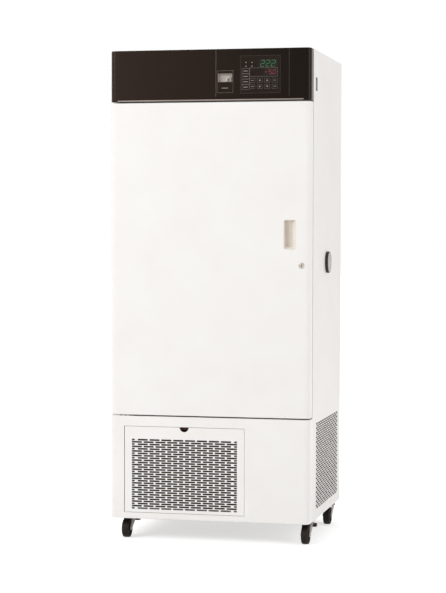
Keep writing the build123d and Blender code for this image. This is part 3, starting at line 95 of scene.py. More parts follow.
def finish(name, code, roughness, metallic=0.0, ior=1.5, tint=None, stops=(0.3, 0.7), shine=None,
           relief=None, cells="Color", **sockets):
    """A material on the object's own coordinates. tint, shine and relief start with a pattern:
    its size in mm and its detail, where 0 gives crystals or cells, or a function that draws it.
    Then come two close shades, two roughnesses, or the strength and the depth in mm of a
    bump. The pattern's stretch and roughness can follow."""
    made = bpy.data.materials.new(name)
    made.use_nodes = True
    made.diffuse_color = colour(code)
    tree = made.node_tree
    tree.nodes.clear()
    place = add(tree, "ShaderNodeTexCoord", output="Object")

    def pattern(size_mm, detail, stretch=None, rough=0.5):
        if callable(size_mm):
            return size_mm(tree, place)
        where = add(tree, "ShaderNodeMapping", {"Vector": place, "Scale": stretch}) if stretch else place
        scaled = {"Vector": where, "Scale": 1 / (size_mm * MM)}
        if detail:
            return add(tree, "ShaderNodeTexNoise", {**scaled, "Detail": detail, "Roughness": rough})
        return add(tree, "ShaderNodeTexVoronoi", scaled, cells)

    inputs = {"Base Color": colour(code), "Roughness": roughness, "Metallic": metallic, "IOR": ior, **sockets}
    if tint:
        size, detail, low, high, *more = tint
        inputs["Base Color"] = add(tree, "ShaderNodeValToRGB", (pattern(size, detail, *more),))
        elements = inputs["Base Color"].node.color_ramp.elements
        for element, shade, stop in zip(elements, (low, high), stops):
            element.color = colour(shade)
            element.position = stop
    if shine:
        size, detail, low, high, *more = shine
        inputs["Roughness"] = add(tree, "ShaderNodeMapRange", {
            "Value": pattern(size, detail, *more), "To Min": low, "To Max": high})
    if relief:
        size, detail, strength, depth, *more = relief
        inputs["Normal"] = add(tree, "ShaderNodeBump", {
            "Height": pattern(size, detail, *more), "Strength": strength, "Distance": depth * MM})
    add(tree, "ShaderNodeOutputMaterial", (add(tree, "ShaderNodeBsdfPrincipled", inputs),))
    return made


# Polyester powder coat, baked on steel: off-white, half gloss. The melted powder leaves a
# fine orange peel, drawn at 5 mm here because the real 1 mm ripple wouldn't show.
white_coat = finish("powder_coated_steel_white", "f5f3ef", 0.38, tint=(160, 3, "f4f1ed", "f7f5f2"),
                    shine=(30, 3, 0.33, 0.43), relief=(5, 1, 0.05, 0.4))

# The same powder coat on the sides and the back, a little darker: painted shade on the faces turned away from
# the front.
side_coat_painted_shade = finish("powder_coat_side_painted_shade", "f1ede9", 0.42, tint=(220, 3, "f0ece8", "f4f1ed"),
                   shine=(30, 3, 0.37, 0.47), relief=(5, 1, 0.05, 0.4))

# The reverse of coated sheet carries a thin backing coat, matt and uneven; its dark brown-grey is painted
# shade inside the cabinet and in its gaps.
backing_painted_shade = finish("backing_coat_painted_shade", "5f4b40", 0.7, 0, 1.3, tint=(120, 3, "594030", "6d5240"),
                 relief=(4, 2, 0.1, 0.3))


def painted_shade_to_the_right(tree, place):
    """A slow cloud over painted shade that deepens from the header's left end to its right."""
    across = add(tree, "ShaderNodeSeparateXYZ", (place,))
    spread = add(tree, "ShaderNodeMapRange", {"Value": across, "From Min": -SIDE * MM, "From Max": SIDE * MM})
    cloud = add(tree, "ShaderNodeTexNoise", {"Vector": place, "Scale": 1 / (260 * MM)})
    return add(tree, "ShaderNodeMath", (cloud, 0.15, spread), operation="MULTIPLY_ADD")


# Gloss enamel on bent steel: nearly black with a brown cast, also in its reflections, and
# smooth enough to mirror the room softly, with faint ripples from the spray.
BROWN_CAST = colour("f3dccb")
# Its tint deepens towards the header's right end: painted shade.
header_enamel = finish(
    "gloss_enamel_black", "1d1613", 0.24, 0, 1.25, tint=(painted_shade_to_the_right, 0, "2a1f1a", "0f0a07"),
    stops=(0.1, 1.0), shine=(18, 3, 0.2, 0.28), relief=(9, 1, 0.04, 0.3), **{"Specular Tint": BROWN_CAST})

# Screen-printed polyester film over the controls: satin, about as dark as the enamel.
control_film = finish("printed_polyester_film", "1f1714", 0.4, 0, 1.22, tint=(14, 3, "1b1411", "241c18"),
                      relief=(0.8, 1, 0.08, 0.1), **{"Specular Tint": BROWN_CAST})

# The film's own rim, stamped out and a little paler than its face.
film_rim = finish("stamped_film_rim", "4a423d", 0.5, 0, 1.35, tint=(5, 2, "443c38", "514945"))

# Pale ink printed on that film.
film_ink = finish("screen_ink_grey", "8c857f", 0.55, tint=(3, 2, "7d7670", "99928c"))

# Dark smoked acrylic over the displays: clear gloss on near black.
display_lens = finish("smoked_acrylic", "1c1512", 0.08, 0, 1.32, tint=(20, 2, "1a1310", "211a17"))


def lit_plastic(name, code):
    """Moulded segments or a lamp's lens, satin, lit from behind and glowing evenly."""
    return finish(name, code, 0.4, tint=(2, 1, code, code),
                  **{"Emission Color": colour(code), "Emission Strength": 0.2})


green_light = lit_plastic("green_display_segments", "2b7d46")
red_light = lit_plastic("red_display_segments", "a43528")
lamp_lens = lit_plastic("clear_lamp_lens", "8f857c")

# Brushed stainless steel: fine scratches along X that stretch highlights.
ALONG_X = (0.08, 1, 1.4)
stainless = finish("brushed_stainless_steel", "c9c7c3", 0.3, 1.0, tint=(90, 2, "c2c0bc", "d0ceca"),
                   shine=(12, 4, 0.22, 0.42, ALONG_X, 0.6), relief=(12, 4, 0.12, 0.05, ALONG_X, 0.6))

# Drawn stainless wire and tube: bright, with faint drawing marks.
wire_steel = finish("electropolished_wire", "cfcdc9", 0.2, 1.0, tint=(25, 2, "c6c4c0", "d6d4d0"),
                    shine=(6, 3, 0.14, 0.3))

# Zinc-plated pressed steel: grey with the cloudy spangle of the bath.
zinc = finish("zinc_plated_steel", "b7b2ab", 0.38, 0.85, tint=(7, 0, "a39d96", "c2bdb6"),
              shine=(7, 0, 0.3, 0.46), relief=(2, 3, 0.12, 0.1))

# The pressed caster forks: zinc-plated and darkened by a thick passivation.
fork_steel = finish("passivated_pressed_steel", "857e78", 0.42, 0.6, tint=(16, 3, "77706a", "938c86"),
                    shine=(5, 3, 0.34, 0.5), relief=(2, 3, 0.12, 0.1))

# Galvanised sheet of the bottom pan and the shroud: larger, duller crystals.
galvanised = finish("galvanised_sheet", "857f79", 0.5, 0.8, tint=(14, 0, "827f7b", "9b9894"),
                    shine=(14, 0, 0.42, 0.58))

# Injection-moulded ABS of the handle cup: cream, with a light spark-eroded grain.
cream_abs = finish("moulded_abs_cream", "f1ebe2", 0.42, tint=(40, 2, "ede6dc", "f4eee6"),
                   relief=(1.2, 2, 0.15, 0.15))

# The bottom of the cup has a coarser grain, and is darker: painted shade deep in the recess.
taupe_abs_painted_shade = finish("moulded_abs_taupe_painted_shade", "e6dcd1", 0.55, tint=(20, 3, "ddd3c8", "e7ded4"),
                   relief=(1.5, 2, 0.3, 0.2))

# Moulded polyamide, light grey: the port plug and the breaker's lever.
grey_nylon = finish("moulded_polyamide_grey", "c6beb7", 0.5, tint=(18, 3, "bfb7b0", "ccc5be"),
                    relief=(1.5, 2, 0.2, 0.15))

# Moulded polyamide, mid grey, of the breaker's window.
window_nylon = finish("moulded_polyamide_mid_grey", "b3aaa2", 0.5, tint=(14, 3, "aba29a", "bbb2aa"),
                      relief=(1.5, 2, 0.2, 0.15))

# Moulded black polypropylene: collar, covers, gland, pedals, with a matt erosion grain.
black_poly = finish("moulded_polypropylene_black", "251e1a", 0.48, 0, 1.4,
                    tint=(12, 3, "1f1915", "2d2521"), relief=(1.6, 2, 0.25, 0.2))

# Hard rubber tread: dull black, slightly dusty from the floor.
tread = finish("hard_rubber_tread", "1a120e", 0.62, 0, 1.3, tint=(9, 4, "130d0a", "271d18"),
               stops=(0.35, 0.75), relief=(2, 3, 0.3, 0.25))

# Silicone seal: soft white, faintly powdery.
seal_rubber = finish("silicone_seal_white", "dddad5", 0.6, tint=(15, 3, "d6d3ce", "e3e0dc"),
                     relief=(1.5, 2, 0.2, 0.15))

# Blown polyurethane foam: cream yellow, full of small cells.
foam = finish("polyurethane_foam", "e3d7ab", 0.9, tint=(4, 0, "d6c996", "eadfb8"),
              relief=(4, 0, 0.4, 0.6), cells="Distance")

# Satin anodised aluminium of the header strip, grained along it: its pale warm grey is a painted reflection
# of the bright door top below.
ALONG_STRIP = (0.05, 1, 1)
anodised_painted_reflection = finish("anodised_strip_painted_reflection", "8c817b", 0.38, 0.75,
                  tint=(6, 3, "82776f", "978c86", ALONG_STRIP), shine=(6, 3, 0.3, 0.42, ALONG_STRIP))

# Rolled aluminium of coil fins and the inner fan.
fin_stock = finish("rolled_aluminium_fins", "c3c3c2", 0.42, 0.9, tint=(40, 3, "b3b3b2", "cfcfce"),
                   shine=(8, 2, 0.36, 0.5))

# The fins of the warm coil: painted mid brown, mottled.
brown_fins = finish("brown_painted_fins", "70523d", 0.8, 0, 1.2, tint=(60, 4, "5c402d", "84644b"),
                    relief=(3, 3, 0.3, 0.2))

# Drawn copper tube, browned by handling.
copper = finish("drawn_copper_tube", "b87a55", 0.34, 1.0, tint=(20, 4, "9a6040", "c88a63"),
                shine=(9, 3, 0.25, 0.45))

# Nickel-plated die casting of the lock, also on pins and shafts: bright, slightly warm.
nickel = finish("nickel_plated_zinc", "b8b1a9", 0.28, 1.0, tint=(5, 3, "aea79f", "c2bbb3"),
                shine=(3, 2, 0.18, 0.32))

# Dip enamel of compressor and motors: thick black gloss.
dip_enamel = finish("dip_enamel_black", "1b1b1c", 0.3, tint=(30, 3, "161617", "242425"),
                    relief=(10, 2, 0.15, 0.4))

# Painted shade at the bottom of the keyway: dark and dull.
painted_shade_dark = finish("keyway_painted_shade", "3d3631", 0.8, tint=(10, 2, "352f2a", "463e38"))


# Mesh building.


def shown(name, data):
    """A new object in the scene."""
    made = bpy.data.objects.new(name, data)
    bpy.context.scene.collection.objects.link(made)
    return made


def mesh_of(bm, closed=True):
    """Turns a bmesh into a mesh. A closed one gets merged doubles and outward faces."""
    if closed:
        bmesh.ops.remove_doubles(bm, verts=bm.verts, dist=0.0005)
        bmesh.ops.recalc_face_normals(bm, faces=bm.faces)
    mesh = bpy.data.meshes.new("made")
    bm.to_mesh(mesh)
    bm.free()
    return mesh


def skin(rings, closed=True, first=False, last=False, solid=True):
    """The skin over rings of points that have the same count, with end faces if asked."""
    bm = bmesh.new()
    rows = [[bm.verts.new(point) for point in ring] for ring in rings]
    count = len(rows[0])
    for low, high in zip(rows, rows[1:]):
        for i in range(count if closed else count - 1):
            j = (i + 1) % count
            bm.faces.new((low[i], low[j], high[j], high[i]))
    if first:
        bm.faces.new(rows[0][::-1])
    if last:
        bm.faces.new(rows[-1])
    return mesh_of(bm, solid)


def lathe(profile, axis, centre, steps=48):
    """A turned shape. profile gives (place along the axis, radius), end to end."""
    rings = []
    for along, radius in profile:
        ring = []
        for i in range(steps):
            turn = 2 * math.pi * i / steps
            c, s = radius * math.cos(turn), radius * math.sin(turn)
            point = {"X": (along, c, s), "Y": (c, along, s), "Z": (c, s, along)}[axis]
            ring.append(Vector(point) + Vector(centre))
        rings.append(ring)
    ended = profile[0] != profile[-1]
    return skin(rings, True, ended and profile[0][1] > 0, ended and profile[-1][1] > 0)


def arc(centre, radius, start, end, steps):
    """Points along an arc, angles in degrees."""
    turns = [math.radians(start + (end - start) * i / steps) for i in range(steps + 1)]
    return [(centre[0] + radius * math.cos(turn), centre[1] + radius * math.sin(turn)) for turn in turns]


def shrunk(span, by):
    """A span made shorter at both ends."""
    return span[0] + by, span[1] - by


def about(middle, half):
    """A span that reaches half a length to either side of its middle."""
    return middle - half, middle + half


def softened(bm, edges, radius, steps):
    """Rounds edges of a bmesh."""
    bmesh.ops.bevel(bm, geom=edges, offset=radius, segments=steps, profile=0.5, affect="EDGES",
                    clamp_overlap=True)


def soft_box(xs, ys, zs, radius=0.0, steps=2):
    """A block with rounded edges."""
    bm = bmesh.new()
    size = Vector((xs[1] - xs[0], ys[1] - ys[0], zs[1] - zs[0]))
    middle = Vector((sum(xs), sum(ys), sum(zs))) / 2
    for vert in bmesh.ops.create_cube(bm, size=1)["verts"]:
        vert.co = vert.co * size + middle
    if radius:
        softened(bm, list(bm.edges), radius, steps)
    return mesh_of(bm)


def front_box(xs, depths, zs, radius=0.0, steps=2):
    """A block whose depths are counted from the plane of the cabinet's front."""
    return soft_box(xs, (FRONT + depths[0], FRONT + depths[1]), zs, radius, steps)


def plate(outline, to_place, thickness, radius=0.0, steps=2):
    """A flat plate of any outline. to_place puts (u, v, height) in the model."""
    bm = bmesh.new()
    face = bm.faces.new([bm.verts.new((u, v, 0)) for u, v in outline])
    for item in bmesh.ops.extrude_face_region(bm, geom=[face])["geom"]:
        if isinstance(item, bmesh.types.BMVert):
            item.co.z = thickness
    if radius:
        rim = [e for e in bm.edges if all(v.co.z > thickness / 2 for v in e.verts)]
        softened(bm, rim, radius, steps)
    bmesh.ops.transform(bm, matrix=to_place, verts=bm.verts)
    return mesh_of(bm)


def rounded_outline(us, vs, radius, steps=5):
    """The corners of a rectangle, rounded, counterclockwise."""
    made = []
    for right, up, start in ((1, 0, 270), (1, 1, 0), (0, 1, 90), (0, 0, 180)):
        centre = (us[right] + (radius, -radius)[right], vs[up] + (radius, -radius)[up])
        made += arc(centre, radius, start, start + 90, steps)
    return made


FACING_FRONT = Matrix(((1, 0, 0, 0), (0, 0, -1, 0), (0, 1, 0, 0), (0, 0, 0, 1)))
FACING_BACK = Matrix(((-1, 0, 0, 0), (0, 0, 1, 0), (0, 1, 0, 0), (0, 0, 0, 1)))
FACING_RIGHT = Matrix(((0, 0, 1, 0), (1, 0, 0, 0), (0, 1, 0, 0), (0, 0, 0, 1)))
FACING_LEFT = Matrix(((0, 0, -1, 0), (-1, 0, 0, 0), (0, 1, 0, 0), (0, 0, 0, 1)))


def at(x, y, z, facing=Matrix.Identity(4)):
    """Where a flat drawing goes: facing turns it, and its zero lands on the point."""
    return Matrix.Translation((x, y, z)) @ facing


def front_plate(outline, depth, thickness, radius=0.0, steps=2):
    """A plate that faces the front. Its back lies at a depth behind the cabinet's front."""
    return plate(outline, at(0, FRONT + depth, 0, FACING_FRONT), thickness, radius, steps)


def moved(mesh, matrix):
    """A copy of a mesh, moved."""
    made = mesh.copy()
    made.transform(matrix)
    return made


def bordered(xs, zs, profile):
    """A frame with sharp corners. profile gives (inset, depth behind the cabinet's front)."""
    rings = []
    for inset, depth in [*profile, profile[0]]:
        left, right = shrunk(xs, inset)
        low, high = shrunk(zs, inset)
        corners = ((left, low), (right, low), (right, high), (left, high))
        rings.append([(x, FRONT + depth, z) for x, z in corners])
    return skin(rings)


def evaluated(mesh, kind, inputs=None, **settings):
    """The mesh that one modifier makes of a mesh. inputs are those of a geometry tree."""
    scratch = shown("scratch", mesh)
    step = scratch.modifiers.new("step", kind)
    for key, value in settings.items():
        setattr(step, key, value)
    for key, value in (inputs or {}).items():
        step[key] = value
    bpy.context.view_layer.update()
    ready = scratch.evaluated_get(bpy.context.evaluated_depsgraph_get())
    made = bpy.data.meshes.new_from_object(ready)
    bpy.data.objects.remove(scratch)
    return made


def cut(mesh, *tools):
    """The mesh with the tools' shapes taken out of it."""
    for tool in tools:
        cutter = shown("cutter", tool)
        mesh = evaluated(mesh, "BOOLEAN", object=cutter, operation="DIFFERENCE", solver="EXACT")
        bpy.data.objects.remove(cutter)
    return mesh


def grown(tree, values, material, mesh=None):
    """The mesh that a geometry tree makes, with the named inputs set."""
    given = {"Material": material, **values}
    inputs = {item.identifier: given[item.name] for item in tree.interface.items_tree
              if item.item_type == "SOCKET" and item.in_out == "INPUT" and item.name in given}
    return evaluated(mesh or bpy.data.meshes.new("seed"), "NODES", inputs, node_group=tree)


SLOTS = {part["node"]: part["material_slot"] for part in frame["record"]["subparts"]}


def piece(name, body, parts, node):
    """One finished object from (mesh, material) pairs in millimetres. It rides on a body and
    stands for a node, which it hides."""
    bm = bmesh.new()
    for number, (mesh, _) in enumerate(parts):
        first = len(bm.faces)
        bm.from_mesh(mesh)
        bm.faces.ensure_lookup_table()
        for face in bm.faces[first:]:
            face.material_index = number
            face.smooth = True
    mesh = mesh_of(bm, False)
    mesh.name = name
    for _, material in parts:
        mesh.materials.append(material)
    mesh.transform(Matrix.Scale(MM, 4))
    mesh.set_sharp_from_angle(angle=math.radians(50))
    # Weighted normals keep the large faces flat beside their rounded edges.
    made = shown(name, evaluated(mesh, "WEIGHTED_NORMAL", keep_sharp=True, weight=80))
    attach(made, body)
    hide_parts(node)
    return made


def painted(made, material, chosen):
    """Gives a further material to the faces of a piece that are chosen."""
    made.data.materials.append(material)
    for face in made.data.polygons:
        if chosen(face):
            face.material_index = len(made.data.materials) - 1


# Geometry trees.


def start_tree(name, sizes, geometry_in=True):
    """An empty geometry tree with named inputs, and the outputs of its input node."""
    tree = bpy.data.node_groups.new(name, "GeometryNodeTree")
    if geometry_in:
        tree.interface.new_socket("Geometry", in_out="INPUT", socket_type="NodeSocketGeometry")
    for label, value in sizes.items():
        kind = {int: "Int", float: "Float", tuple: "Vector"}[type(value)]
        socket = tree.interface.new_socket(label, in_out="INPUT", socket_type="NodeSocket" + kind)
        socket.default_value = value
    tree.interface.new_socket("Material", in_out="INPUT", socket_type="NodeSocketMaterial")
    tree.interface.new_socket("Geometry", in_out="OUTPUT", socket_type="NodeSocketGeometry")
    return tree, add(tree, "NodeGroupInput").node.outputs


def end_tree(tree, given, geometry):
    """Ends a tree: instances made real, and the material set."""
    real = add(tree, "GeometryNodeRealizeInstances", (geometry,))
    dressed = add(tree, "GeometryNodeSetMaterial", {"Geometry": real, "Material": given["Material"]})
    add(tree, "NodeGroupOutput", (dressed,))
    return tree


def row_and_column(tree, per_row):
    """For each point, the row it is in and its number in that row."""
    index = add(tree, "GeometryNodeInputIndex")
    middle = add(tree, "ShaderNodeMath", (index, 0.5), operation="ADD")
    share = add(tree, "ShaderNodeMath", (middle, per_row), operation="DIVIDE")
    row = add(tree, "ShaderNodeMath", (share,), operation="FLOOR")
    before = add(tree, "ShaderNodeMath", (row, per_row), operation="MULTIPLY")
    return row, add(tree, "ShaderNodeMath", (index, before), operation="SUBTRACT")


def slotted_sheet_tree():
    """A sheet with slots laid like brickwork. Every second row has a short slot at each end."""
    tree, given = start_tree("slotted_sheet", {
        "Width": 400.0, "Height": 300.0, "Thickness": 1.2, "Left": 20.0, "Bottom": 20.0,
        "Columns": 9, "Rows": 31, "Slot Length": 36.5, "Slot Height": 4.0, "Pitch Across": 42.5,
        "Pitch Up": 8.0, "End Slot": 10.5}, False)

    def slot_curve(length):
        box = add(tree, "GeometryNodeCurvePrimitiveQuadrilateral", (length, given["Slot Height"]))
        corner = add(tree, "ShaderNodeMath", (given["Slot Height"], 0.3), operation="MULTIPLY")
        return add(tree, "GeometryNodeFilletCurve", {"Curve": box, "Radius": corner, "Count": 2},
                   mode="POLY")

    def slots(curve, per_row, rows, first_row, start, pitch):
        row, column = row_and_column(tree, per_row)
        across = add(tree, "ShaderNodeMath", (column, pitch, start), operation="MULTIPLY_ADD")
        whole_row = add(tree, "ShaderNodeMath", (row, 2.0, first_row), operation="MULTIPLY_ADD")
        middle = add(tree, "ShaderNodeMath", (given["Slot Height"], 0.5, given["Bottom"]),
                     operation="MULTIPLY_ADD")
        up = add(tree, "ShaderNodeMath", (whole_row, given["Pitch Up"], middle), operation="MULTIPLY_ADD")
        where = add(tree, "ShaderNodeCombineXYZ", (across, up))
        count = add(tree, "ShaderNodeMath", (per_row, rows), operation="MULTIPLY")
        points = add(tree, "GeometryNodePoints", (count, where))
        return add(tree, "GeometryNodeInstanceOnPoints", {"Points": points, "Instance": curve})

    half_rows = add(tree, "ShaderNodeMath", (given["Rows"], 2.0), operation="DIVIDE")
    full_rows = add(tree, "ShaderNodeMath", (half_rows,), operation="FLOOR")
    odd_rows = add(tree, "ShaderNodeMath", (given["Rows"], full_rows), operation="SUBTRACT")
    fewer = add(tree, "ShaderNodeMath", (given["Columns"], 1.0), operation="SUBTRACT")
    start = add(tree, "ShaderNodeMath", (given["Slot Length"], 0.5, given["Left"]), operation="MULTIPLY_ADD")
    shifted = add(tree, "ShaderNodeMath", (given["Pitch Across"], 0.5, start), operation="MULTIPLY_ADD")
    span = add(tree, "ShaderNodeMath", (fewer, given["Pitch Across"], given["Slot Length"]),
               operation="MULTIPLY_ADD")
    end_start = add(tree, "ShaderNodeMath", (given["End Slot"], 0.5, given["Left"]),
                    operation="MULTIPLY_ADD")
    end_pitch = add(tree, "ShaderNodeMath", (span, given["End Slot"]), operation="SUBTRACT")
    outer = add(tree, "GeometryNodeCurvePrimitiveQuadrilateral", (given["Width"], given["Height"]))
    middle = add(tree, "ShaderNodeCombineXYZ", [
        add(tree, "ShaderNodeMath", (given[side], 0.5), operation="MULTIPLY")
        for side in ("Width", "Height")])
    outer = add(tree, "GeometryNodeTransform", {"Geometry": outer, "Translation": middle})
    long_slot = slot_curve(given["Slot Length"])
    outlines = add(tree, "GeometryNodeJoinGeometry", ([
        outer,
        slots(long_slot, given["Columns"], full_rows, 1.0, start, given["Pitch Across"]),
        slots(long_slot, fewer, odd_rows, 0.0, shifted, given["Pitch Across"]),
        slots(slot_curve(given["End Slot"]), 2.0, odd_rows, 0.0, end_start, end_pitch)],))
    curves = add(tree, "GeometryNodeRealizeInstances", (outlines,))
    face = add(tree, "GeometryNodeFillCurve", {"Curve": curves}, mode="TRIANGLES")
    risen = add(tree, "GeometryNodeExtrudeMesh", {
        "Mesh": face, "Offset Scale": given["Thickness"], "Individual": False}, "Mesh")
    under = add(tree, "GeometryNodeFlipFaces", (face,))
    both = add(tree, "GeometryNodeJoinGeometry", ([risen, under],))
    whole = add(tree, "GeometryNodeMergeByDistance", {"Geometry": both, "Distance": 0.001})
    return end_tree(tree, given, whole)


def grid_tree():
    """Copies of the given mesh, in rows and columns."""
    tree, given = start_tree("copies_in_a_grid", {
        "Across": 4, "Up": 2, "Step Across": (10.0, 0.0, 0.0), "Step Up": (0.0, 0.0, 10.0)})
    row, column = row_and_column(tree, given["Across"])
    shifts = [add(tree, "ShaderNodeVectorMath", {0: given[step], "Scale": count}, operation="SCALE")
              for step, count in (("Step Across", column), ("Step Up", row))]
    where = add(tree, "ShaderNodeVectorMath", shifts, operation="ADD")
    count = add(tree, "ShaderNodeMath", (given["Across"], given["Up"]), operation="MULTIPLY")
    points = add(tree, "GeometryNodePoints", (count, where))
    return end_tree(tree, given, add(tree, "GeometryNodeInstanceOnPoints", {
        "Points": points, "Instance": given["Geometry"]}))


def ring_tree():
    """Copies of the given mesh, turned evenly about an axis through the origin."""
    tree, given = start_tree("copies_in_a_ring", {"Count": 6, "Axis": (0.0, 0.0, 1.0)})
    share = add(tree, "ShaderNodeMath", (add(tree, "GeometryNodeInputIndex"), given["Count"]),
                operation="DIVIDE")
    angle = add(tree, "ShaderNodeMath", (share, 2 * math.pi), operation="MULTIPLY")
    turn = add(tree, "FunctionNodeAxisAngleToRotation", {"Axis": given["Axis"], "Angle": angle})
    points = add(tree, "GeometryNodePoints", (given["Count"],))
    return end_tree(tree, given, add(tree, "GeometryNodeInstanceOnPoints", {
        "Points": points, "Instance": given["Geometry"], "Rotation": turn}))


def bent_rod_tree():
    """A round rod or tube along the given edges, bent at their corners."""
    tree, given = start_tree("bent_rod", {
        "Rod Radius": 3.0, "Bend Radius": 12.0, "Sides": 12, "Bend Steps": 6})
    line = add(tree, "GeometryNodeMeshToCurve", (given["Geometry"],))
    bent = add(tree, "GeometryNodeFilletCurve", {
        "Curve": line, "Radius": given["Bend Radius"], "Count": given["Bend Steps"],
        "Limit Radius": True}, mode="POLY")
    ring = add(tree, "GeometryNodeCurvePrimitiveCircle", {
        "Resolution": given["Sides"], "Radius": given["Rod Radius"]})
    return end_tree(tree, given, add(tree, "GeometryNodeCurveToMesh", {
        "Curve": bent, "Profile Curve": ring, "Fill Caps": True}))


slotted_sheet = slotted_sheet_tree()
in_a_grid = grid_tree()
in_a_ring = ring_tree()
bent_rod = bent_rod_tree()


def rod(points, radius, bend, material, sides=12, closed=False, bend_steps=6):
    """A bent rod through corner points."""
    mesh = bpy.data.meshes.new("path")
    edges = [(i, i + 1) for i in range(len(points) - 1)]
    if closed:
        edges.append((len(points) - 1, 0))
    mesh.from_pydata([Vector(p) for p in points], edges, [])
    return grown(bent_rod, {"Rod Radius": float(radius), "Bend Radius": float(bend), "Sides": sides,
                            "Bend Steps": bend_steps}, material, mesh)


def copies(mesh, material, across, step, up=1, step_up=(0, 0, 0)):
    """Copies of a mesh in a grid, with their material."""
    return grown(in_a_grid, {"Across": across, "Up": up, "Step Across": [float(v) for v in step],
                             "Step Up": [float(v) for v in step_up]}, material, mesh), material


def around(mesh, material, count, axis, centre):
    """Copies of a mesh about an axis, with their material. The mesh is drawn at the origin."""
    ring = grown(in_a_ring, {"Count": count, "Axis": [float(v) for v in axis]}, material, mesh)
    return moved(ring, Matrix.Translation(centre)), material


# Bent sheet fronts.


def front_ring(inset, z, y_back):
    """The plan of a front with rounded corners: from the back left round to the back right."""
    half, front, radius = SIDE - inset, FRONT + inset, CORNER - inset
    plan = [(-half, y_back)]
    plan += arc((-half + radius, front + radius), radius, 180, 270, 10)
    plan += arc((half - radius, front + radius), radius, 270, 360, 10)
    plan.append((half, y_back))
    return [(x, y, z) for x, y in plan]


def bent_front(zs, y_back, edge, lip=0.0, sheet=SHEET):
    """A front of bent sheet, closed at the top. Below it is closed too, or turned in by a lip."""
    stations = [(lip, zs[0])] if lip else []
    for z, start in ((zs[0] + edge, -90), (zs[1] - edge, 0)):
        stations += [(edge - u, v) for u, v in arc((0, z), edge, start, start + 90, 3)]
    bare = skin([front_ring(inset, z, y_back) for inset, z in stations], False, not lip, True, False)
    return evaluated(bare, "SOLIDIFY", thickness=sheet, offset=-1, use_even_offset=True)


def backed_in_painted_shade(made, direction):
    """Gives the faces that look in a direction, the inside of a sheet, the backing coat, whose dark tone is
    painted shade.
    """
    painted(made, backing_painted_shade, lambda face: face.normal.dot(Vector(direction)) > 0.7)


# The door's outer pan, with openings for the handle cup, the lock and the hinge pins.
HANDLE_X, HANDLE_Z = (261.5, 304.5), (1017.0, 1119.0)
LOCK_X, LOCK_Z = 324.5, 962.5
LOCK = (LOCK_X, FRONT, LOCK_Z)
HINGE = (-335.0, -302.5, 0.0)
door_pan = cut(
    bent_front((DOOR_LOW, DOOR_HIGH), DOOR_BACK, 2.5, sheet=1.2),
    front_plate(rounded_outline(HANDLE_X, HANDLE_Z, 5), 6, 12),
    lathe([(-6, 9.8), (8, 9.8)], "Y", LOCK),
    *[lathe([(z - 4, 4.2), (z + 4, 4.2)], "Z", HINGE, 24) for z in (DOOR_LOW, DOOR_HIGH)])
# The door's underside takes the dark backing: painted shade in the gap above the base.
painted(piece("door_pan", "door", [(door_pan, white_coat)], "door_skin"), backing_painted_shade,
        lambda face: face.normal.z < -0.9 and face.center.z < (DOOR_LOW + 1) * MM)

HEADER_EDGE = HEADER_LOW - 3.5
STRIP_HALF, STRIP_TAPER, STRIP_TOP = 330.0, 4.0, HEADER_EDGE + 5.2


def strip_outline(grow):
    """The strip seen from the front: a bar with short tapered ends, or the rebate round it."""
    half, low, top = STRIP_HALF + grow, HEADER_EDGE - 5 * bool(grow), STRIP_TOP + grow
    corner = top - 1.6 - grow
    return [(-half + STRIP_TAPER, low), (half - STRIP_TAPER, low), (half, corner), (half, top),
            (-half, top), (-half, corner)]


# The header, with the bay for the control panel and the rebate for the strip.
BAY_X, BAY_Z = (22.0, 280.0), (1540.0, 1703.5)
header = cut(bent_front((HEADER_EDGE, TOP), CARCASS, 3.0), front_box(BAY_X, (-5, 10), BAY_Z),
             front_plate(strip_outline(0.6), 7, 12))
piece("header_pan", "cabinet", [(header, header_enamel)], "header_cover")

# The strip along the header's lower edge: an upper bead, pale with painted reflection, and a
# dark chamfer that faces the floor.
chamfer = plate([(FRONT - 3, HEADER_EDGE - 1), (FRONT + 1.4, HEADER_EDGE - 1),
                 (FRONT - 1, HEADER_EDGE + 1.9), (FRONT - 3, HEADER_EDGE + 1.9)],
                at(-SIDE, 0, 0, FACING_RIGHT), 2 * SIDE)
strip = cut(front_plate(strip_outline(0), 7, 7, 0.7, 3), chamfer)
painted(piece("header_strip", "cabinet", [(strip, anodised_painted_reflection)], "header_trim"), header_enamel,
        lambda face: face.normal.z < -0.3)

# The base front, with its opening and the frame that the grille drops into.
GRILLE_X, GRILLE_Z = (-301.0, 126.4), (97.0, 397.5)
OPEN_X, OPEN_Z = (GRILLE_X[0] - 2.4, GRILLE_X[1] + 1.0), shrunk(GRILLE_Z, -1.2)
base_front = cut(bent_front((SKIRT, BASE_TOP), CARCASS, 2.5, 12.0), front_box(OPEN_X, (-5, 10), OPEN_Z))
ledge = bordered(OPEN_X, OPEN_Z, [(-1.4, 0.4), (-1.4, 15.4), (10, 15.4), (10, 14.1), (0, 14.1), (0, 0.4)])
# Its inner faces and the front of the frame behind the grille take the dark backing: painted shade.
painted(piece("base_front", "cabinet", [(base_front, white_coat), (ledge, white_coat)],
              "base_front_panel"), backing_painted_shade,
        lambda face: face.normal.y > 0.7 or face.normal.y < -0.9 and face.center.y > (FRONT + 10) * MM)

PUNCH = {"Slot Length": 36.5, "Slot Height": 5.9, "Pitch Across": 42.5, "Pitch Up": 8.0, "End Slot": 10.5}


def punched(place, material, size, left, bottom, columns, rows, thickness=SHEET, punch=PUNCH):
    """A sheet with rows of slots, in its place. The first slots begin at left and bottom."""
    return moved(grown(slotted_sheet, {
        **punch, "Width": size[0], "Height": size[1], "Thickness": thickness, "Left": left,
        "Bottom": bottom, "Columns": columns, "Rows": rows}, material), place)


